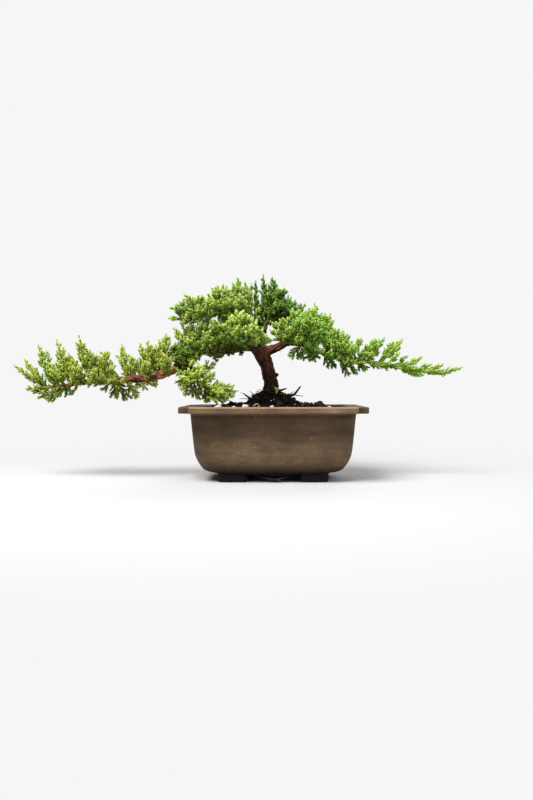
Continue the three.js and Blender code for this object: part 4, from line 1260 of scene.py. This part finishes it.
# Needles along their shoot: their size, and how far they lean out in degrees
NEEDLE_SIZE = ([0, 0.6, 1], [1.0, 0.97, 0.74])
NEEDLE_LEAN = ([0, 0.75, 1], [36, 31, 16])
NEEDLE_WIDTH = 0.25
# A needle's four corners: small steps in shade, and how far along the needle they count as
CORNER_SHADE = np.array((0.012, -0.012, 0.0, 0.004))
CORNER_ALONG = (0.12, 0.14, 0.03, 0.93)
NEEDLE_FACES = np.array([[0, 1, 3], [1, 2, 3], [2, 0, 3], [0, 2, 1]])
STEM_ALONG = 0.98


def along_shoots(shoots, t):
    """Place and direction at share t of each shoot; a shoot is a start, a pull and a tip."""
    a, b, c, t = shoots[:, 0], shoots[:, 1], shoots[:, 2], t[:, None]
    return bend(a, b, c, t), unit((1 - t) * (b - a) + t * (c - b))


def lengths_of(shoots):
    """About how long each shoot is along its bend."""
    bent = np.linalg.norm(np.diff(shoots, axis=1), axis=2).sum(1)
    return 0.5 * (bent + np.linalg.norm(shoots[:, 2] - shoots[:, 0], axis=1))


def counted(count):
    """For so many things on each owner: the owner of each thing and its place in line."""
    owner = np.repeat(np.arange(len(count)), count)
    return owner, np.arange(len(owner)) - np.repeat(np.cumsum(count) - count, count)


def leading_shoots(leaders):
    """Shoots that sag a little between their start and their tip, and the reach of each."""
    rows = np.array(leaders, float)
    start, tip = rows[:, :3], rows[:, 3:6]
    tip = tip - unit(tip - start) * 1.8
    pull = (start + tip) / 2
    pull[:, 2] -= 0.14 * np.hypot(*(tip - start)[:, :2].T)
    return np.stack([start, pull, tip], 1), rows[:, 6]


def turned_out(way, turn):
    """The direction square to each way, at this turn round it."""
    side, up = across(way)
    return np.cos(turn)[:, None] * side + np.sin(turn)[:, None] * up


def side_shoots(parents, age_and_shade, dice, long_at, least, spacing, first, lean):
    """Shoots that leave their parents all round, lean forward and turn up towards the light."""
    last, towards_light = 0.9, np.array((0, 0, 0.55))
    count = np.maximum(1, ((last - first) * lengths_of(parents) / spacing).astype(int))
    owner, step = counted(count)
    t = first + (last - first) * ((step + dice.uniform(0.15, 0.85, len(step))) / count[owner])
    turn = GOLDEN_ANGLE * step + dice.uniform(0, FULL_TURN, len(parents))[owner]
    turn = turn + dice.normal(0, 0.25, len(step))
    place, way = along_shoots(parents[owner], t)
    tilt = np.radians(lean + dice.normal(0, 6, len(step)))[:, None]
    heading = unit(np.cos(tilt) * way + np.sin(tilt) * turned_out(way, turn))
    long = long_at(owner, t) * dice.uniform(0.72, 1.2, len(step))
    long = np.maximum(long, least)[:, None]
    pull = place + heading * long * 0.5
    tip = place + heading * long * 0.88 + (way * 0.45 + towards_light) * long * 0.24
    # How young the shoot is, with painted light on shoots that point up and painted shade on those
    # that point down.
    young_and_lit = 0.34 * age_and_shade[owner] + 0.4 * t + 0.08 + 0.22 * heading[:, 2]
    young_and_lit = (young_and_lit + dice.normal(0, 0.1, len(step))).clip(0, 1)
    return np.stack([place, pull, tip], 1), young_and_lit


def needles_on(shoots, young_and_lit, dice, spacing, size):
    """Whorls of three short needles, each whorl turned by half a step from the one before."""
    count = np.maximum(2, np.round(lengths_of(shoots) / spacing).astype(int))
    owner, step = counted(count)
    t = (step + 0.75) / count[owner]
    place, way = along_shoots(shoots[owner], t.clip(0, 1))
    points, shades = [], []
    grown = np.broadcast_to(size, len(shoots))[owner] * np.interp(t, *NEEDLE_SIZE)
    # Needles darken towards the foot of each shoot: older needles there, and painted shade inside
    # the spray.
    base = (young_and_lit[owner] * (0.5 + 0.46 * t) + 0.03).clip(0, 1)
    for leaf in range(3):
        turn = math.pi / 3 * (step % 2) + leaf * FULL_TURN / 3 + dice.normal(0, 0.2, len(step))
        out = turned_out(way, turn)
        edge = np.cross(way, out)
        lean = np.radians(np.interp(t, *NEEDLE_LEAN) + dice.normal(0, 7, len(step)))[:, None]
        heading = np.cos(lean) * way + np.sin(lean) * out
        face = np.cross(edge, heading)
        inward = np.sign((face * way).sum(1, keepdims=True))
        long = (grown * dice.uniform(0.82, 1.15, len(step)))[:, None]
        wide = long * NEEDLE_WIDTH
        heel = place + out * 0.12
        points.append(np.stack([
            heel + edge * wide + heading * long * 0.22,
            heel - edge * wide + heading * long * 0.22,
            heel - face * wide * 1.1 + heading * long * 0.12,
            heel + heading * long + face * long * 0.08 * inward,
        ], 1))
        shade = (base + dice.normal(0, 0.07, len(step))).clip(0.03, 0.97)[:, None]
        shades.append(shade + CORNER_SHADE)
    points = np.concatenate(points).reshape(-1, 3)
    needles = len(points) // 4
    faces = (NEEDLE_FACES + 4 * np.arange(needles)[:, None, None]).reshape(-1, 3)
    numbers = {"shade": np.concatenate(shades).ravel(), "along": np.tile(CORNER_ALONG, needles)}
    return points, [faces], numbers


def stems_on(shoots, young_and_lit, thick, thin, stations, sides):
    """The stems themselves, brown at the foot and greener outwards."""
    t = np.linspace(0, 1, stations)
    lines = np.stack([along_shoots(shoots, np.full(len(shoots), s))[0] for s in t], 1)
    thick = np.broadcast_to(thick, len(shoots))[:, None]
    points, faces = tubes(lines, thick + (thin - thick) * t, sides)
    shade = (young_and_lit[:, None] * 0.5 + 0.45 * t).clip(0.02, 0.97).ravel()
    spread = np.linspace(-1, 1, sides)
    shade = np.repeat(shade, sides) + np.tile(0.01 * spread, shade.size)
    along = STEM_ALONG + np.tile(0.006 * spread, t.size * len(shoots))
    return points, faces, {"shade": shade, "along": along}


def grow_spray(rows, seed, needle=2.9, density=1.0):
    """Everything that grows from one spray's leading shoots."""
    dice = np.random.default_rng(seed)
    leaders, width = leading_shoots(rows)
    length = lengths_of(leaders)
    fresh = 0.55 + dice.normal(0, 0.05, len(leaders))
    lean = 35

    def side_length(owner, t):
        return (width[owner] * np.interp(t, *REACH) - 0.9) / math.sin(math.radians(lean))

    sides, side_age = side_shoots(leaders, fresh, dice, side_length, least=2.6,
                                  spacing=1.8 / density, first=0.06, lean=lean)
    longer = lengths_of(sides) > 6
    bearers, bearer_age = sides[longer], side_age[longer]
    bearer_length = lengths_of(bearers)

    def twig_length(owner, t):
        return 0.42 * bearer_length[owner] * (1 - t) + 1.6

    twigs, twig_age = side_shoots(bearers, bearer_age, dice, twig_length, least=2.2,
                                  spacing=2.3 / density, first=0.16, lean=36)
    return combine([
        needles_on(leaders, fresh * 0.8 + 0.2, dice, spacing=1.0, size=needle * 1.15),
        needles_on(sides, side_age, dice, spacing=1.0, size=needle),
        needles_on(twigs, twig_age, dice, spacing=1.1, size=needle * 0.9),
        stems_on(leaders, fresh * 0.4, thick=0.42 + 0.014 * length, thin=0.24, stations=7, sides=5),
        stems_on(sides, side_age * 0.7, thick=0.34, thin=0.2, stations=4, sides=3),
        stems_on(twigs, twig_age, thick=0.26, thin=0.16, stations=3, sides=3),
    ])


def needle_piece(name, grown, slot, finish, node):
    mesh = mesh_from(name, *grown)
    corners = face_corners(mesh)
    spread = np.stack([grown[2][key][corners] for key in ("shade", "along")], 1)
    mesh.uv_layers.new(name="OFBake").uv.foreach_set("vector", spread.astype(np.float32).ravel())
    add_piece(name, mesh, slot, finish, node)


def fallen_shoot():
    """A short dry shoot that lies in an arch on the soil."""
    dice = np.random.default_rng(77)
    arch = np.array([[(-17.8, -38.7, 61.4), (-14.2, -39.3, 70.6), (-10.4, -37.5, 61.6)]], float)
    young_and_lit = np.array([0.5])
    return combine([needles_on(arch, young_and_lit, dice, spacing=0.62, size=1.5),
                    stems_on(arch, young_and_lit, thick=0.6, thin=0.5, stations=12, sides=6)])


def make_foliage():
    greens = {name: needle_green("green_of_the_" + name, *colours)
              for name, colours in GREENS.items()}
    for seed, (spray, rows) in enumerate(LEADERS.items(), 100):
        green = next(green for starts, green in GREEN_OF_SPRAY if spray.startswith(starts))
        grown = grow_spray(rows, seed, density=0.8 if spray.startswith("back") else 1.0)
        needle_piece(spray + "_needles", grown, "juniper_green", greens[green], spray)
    faded = needle_green("faded_shoot", *FADED)
    needle_piece("fallen_dry_shoot", fallen_shoot(), "dry_shoot", faded, "fallen_shoot")
    sprout = grow_spray([(2.2, -9.5, 70.5, 3.6, -10.3, 81, 1.6)], 78, needle=2.0)
    needle_piece("green_sprout", sprout, "juniper_green", greens["front_spray"], "seedling")


# Building it

make_pot()
make_soil()
make_litter()
make_wire()
make_wood()
make_foliage()


# Floor, light and camera

PAPER_WHITE = (*paint(246, 246, 246), 1)
# The picture is 800 pixels high. One metre away from the camera, a metre takes 762 of them.
PICTURE_HEIGHT, PIXELS_PER_METRE, SENSOR = 800, 762, 36
CAMERA_PLACE, CAMERA_TILT = (-5.8, -678, 79.7), 0.9


def make_floor():
    """A pale floor that fades into the white of the room."""
    shape = bmesh.new()
    bmesh.ops.create_circle(shape, cap_ends=True, segments=96, radius=6)
    floor = new_object("floor", mesh_of("floor", shape))
    finish = Finish("floor", Roughness=0.9, Specular_IOR_Level=0.0)
    where = finish.node("TexCoord", {}, {}, "Object")
    far = finish.node("VectorMath", {"operation": "LENGTH"}, {0: where}, "Value")
    finish.colour((0.5, 0.498, 0.496, 1))
    lit = Socket(finish, finish.shader.outputs[0])
    glow = finish.node("Emission", {}, {"Color": PAPER_WHITE})
    blend = finish.node("MixShader", {}, {0: finish.between(far, 0.1, 0.45), 1: lit, 2: glow})
    finish.feed(finish.tree.nodes["Material Output"].inputs["Surface"], blend)
    floor.data.materials.append(finish.material)


def add_light(name, place, aim, size, power):
    lamp = bpy.data.lights.new(name, "AREA")
    lamp.shape, lamp.size, lamp.energy = "DISK", size, power
    light = new_object(name, lamp)
    light.location = place
    toward = np.array(aim, float) - np.array(place, float)
    flat = math.hypot(toward[0], toward[1])
    light.rotation_euler = (math.atan2(flat, -toward[2]), 0, math.atan2(-toward[0], toward[1]))


def make_room():
    """White to the camera, and dimmer as a light on the tree."""
    world = bpy.data.worlds.new("white_studio")
    world.use_nodes = True
    nodes, links = world.node_tree.nodes, world.node_tree.links
    nodes["Background"].inputs["Color"].default_value = PAPER_WHITE
    strength = nodes.new("ShaderNodeMapRange")
    strength.inputs["To Min"].default_value = 0.3
    links.new(nodes.new("ShaderNodeLightPath").outputs["Is Camera Ray"], strength.inputs["Value"])
    links.new(strength.outputs["Result"], nodes["Background"].inputs["Strength"])
    bpy.context.scene.world = world
    bpy.context.scene.view_settings.view_transform = "Standard"


make_floor()
add_light("soft_key", (-0.45, -0.65, 1.15), (0, 0, 0.1), 0.8, 33)
add_light("soft_fill", (0.9, -0.7, 0.6), (0, 0, 0.08), 0.8, 6)
add_light("back_light", (0.35, 0.9, 0.9), (0, 0, 0.1), 0.9, 8)
make_room()

camera = new_object("camera", bpy.data.cameras.new("camera"))
camera.data.sensor_width, camera.data.lens = SENSOR, PIXELS_PER_METRE / PICTURE_HEIGHT * SENSOR
camera.location = metres(CAMERA_PLACE)
camera.rotation_euler = (math.radians(90 - CAMERA_TILT), 0, 0)
bpy.context.scene.camera = camera
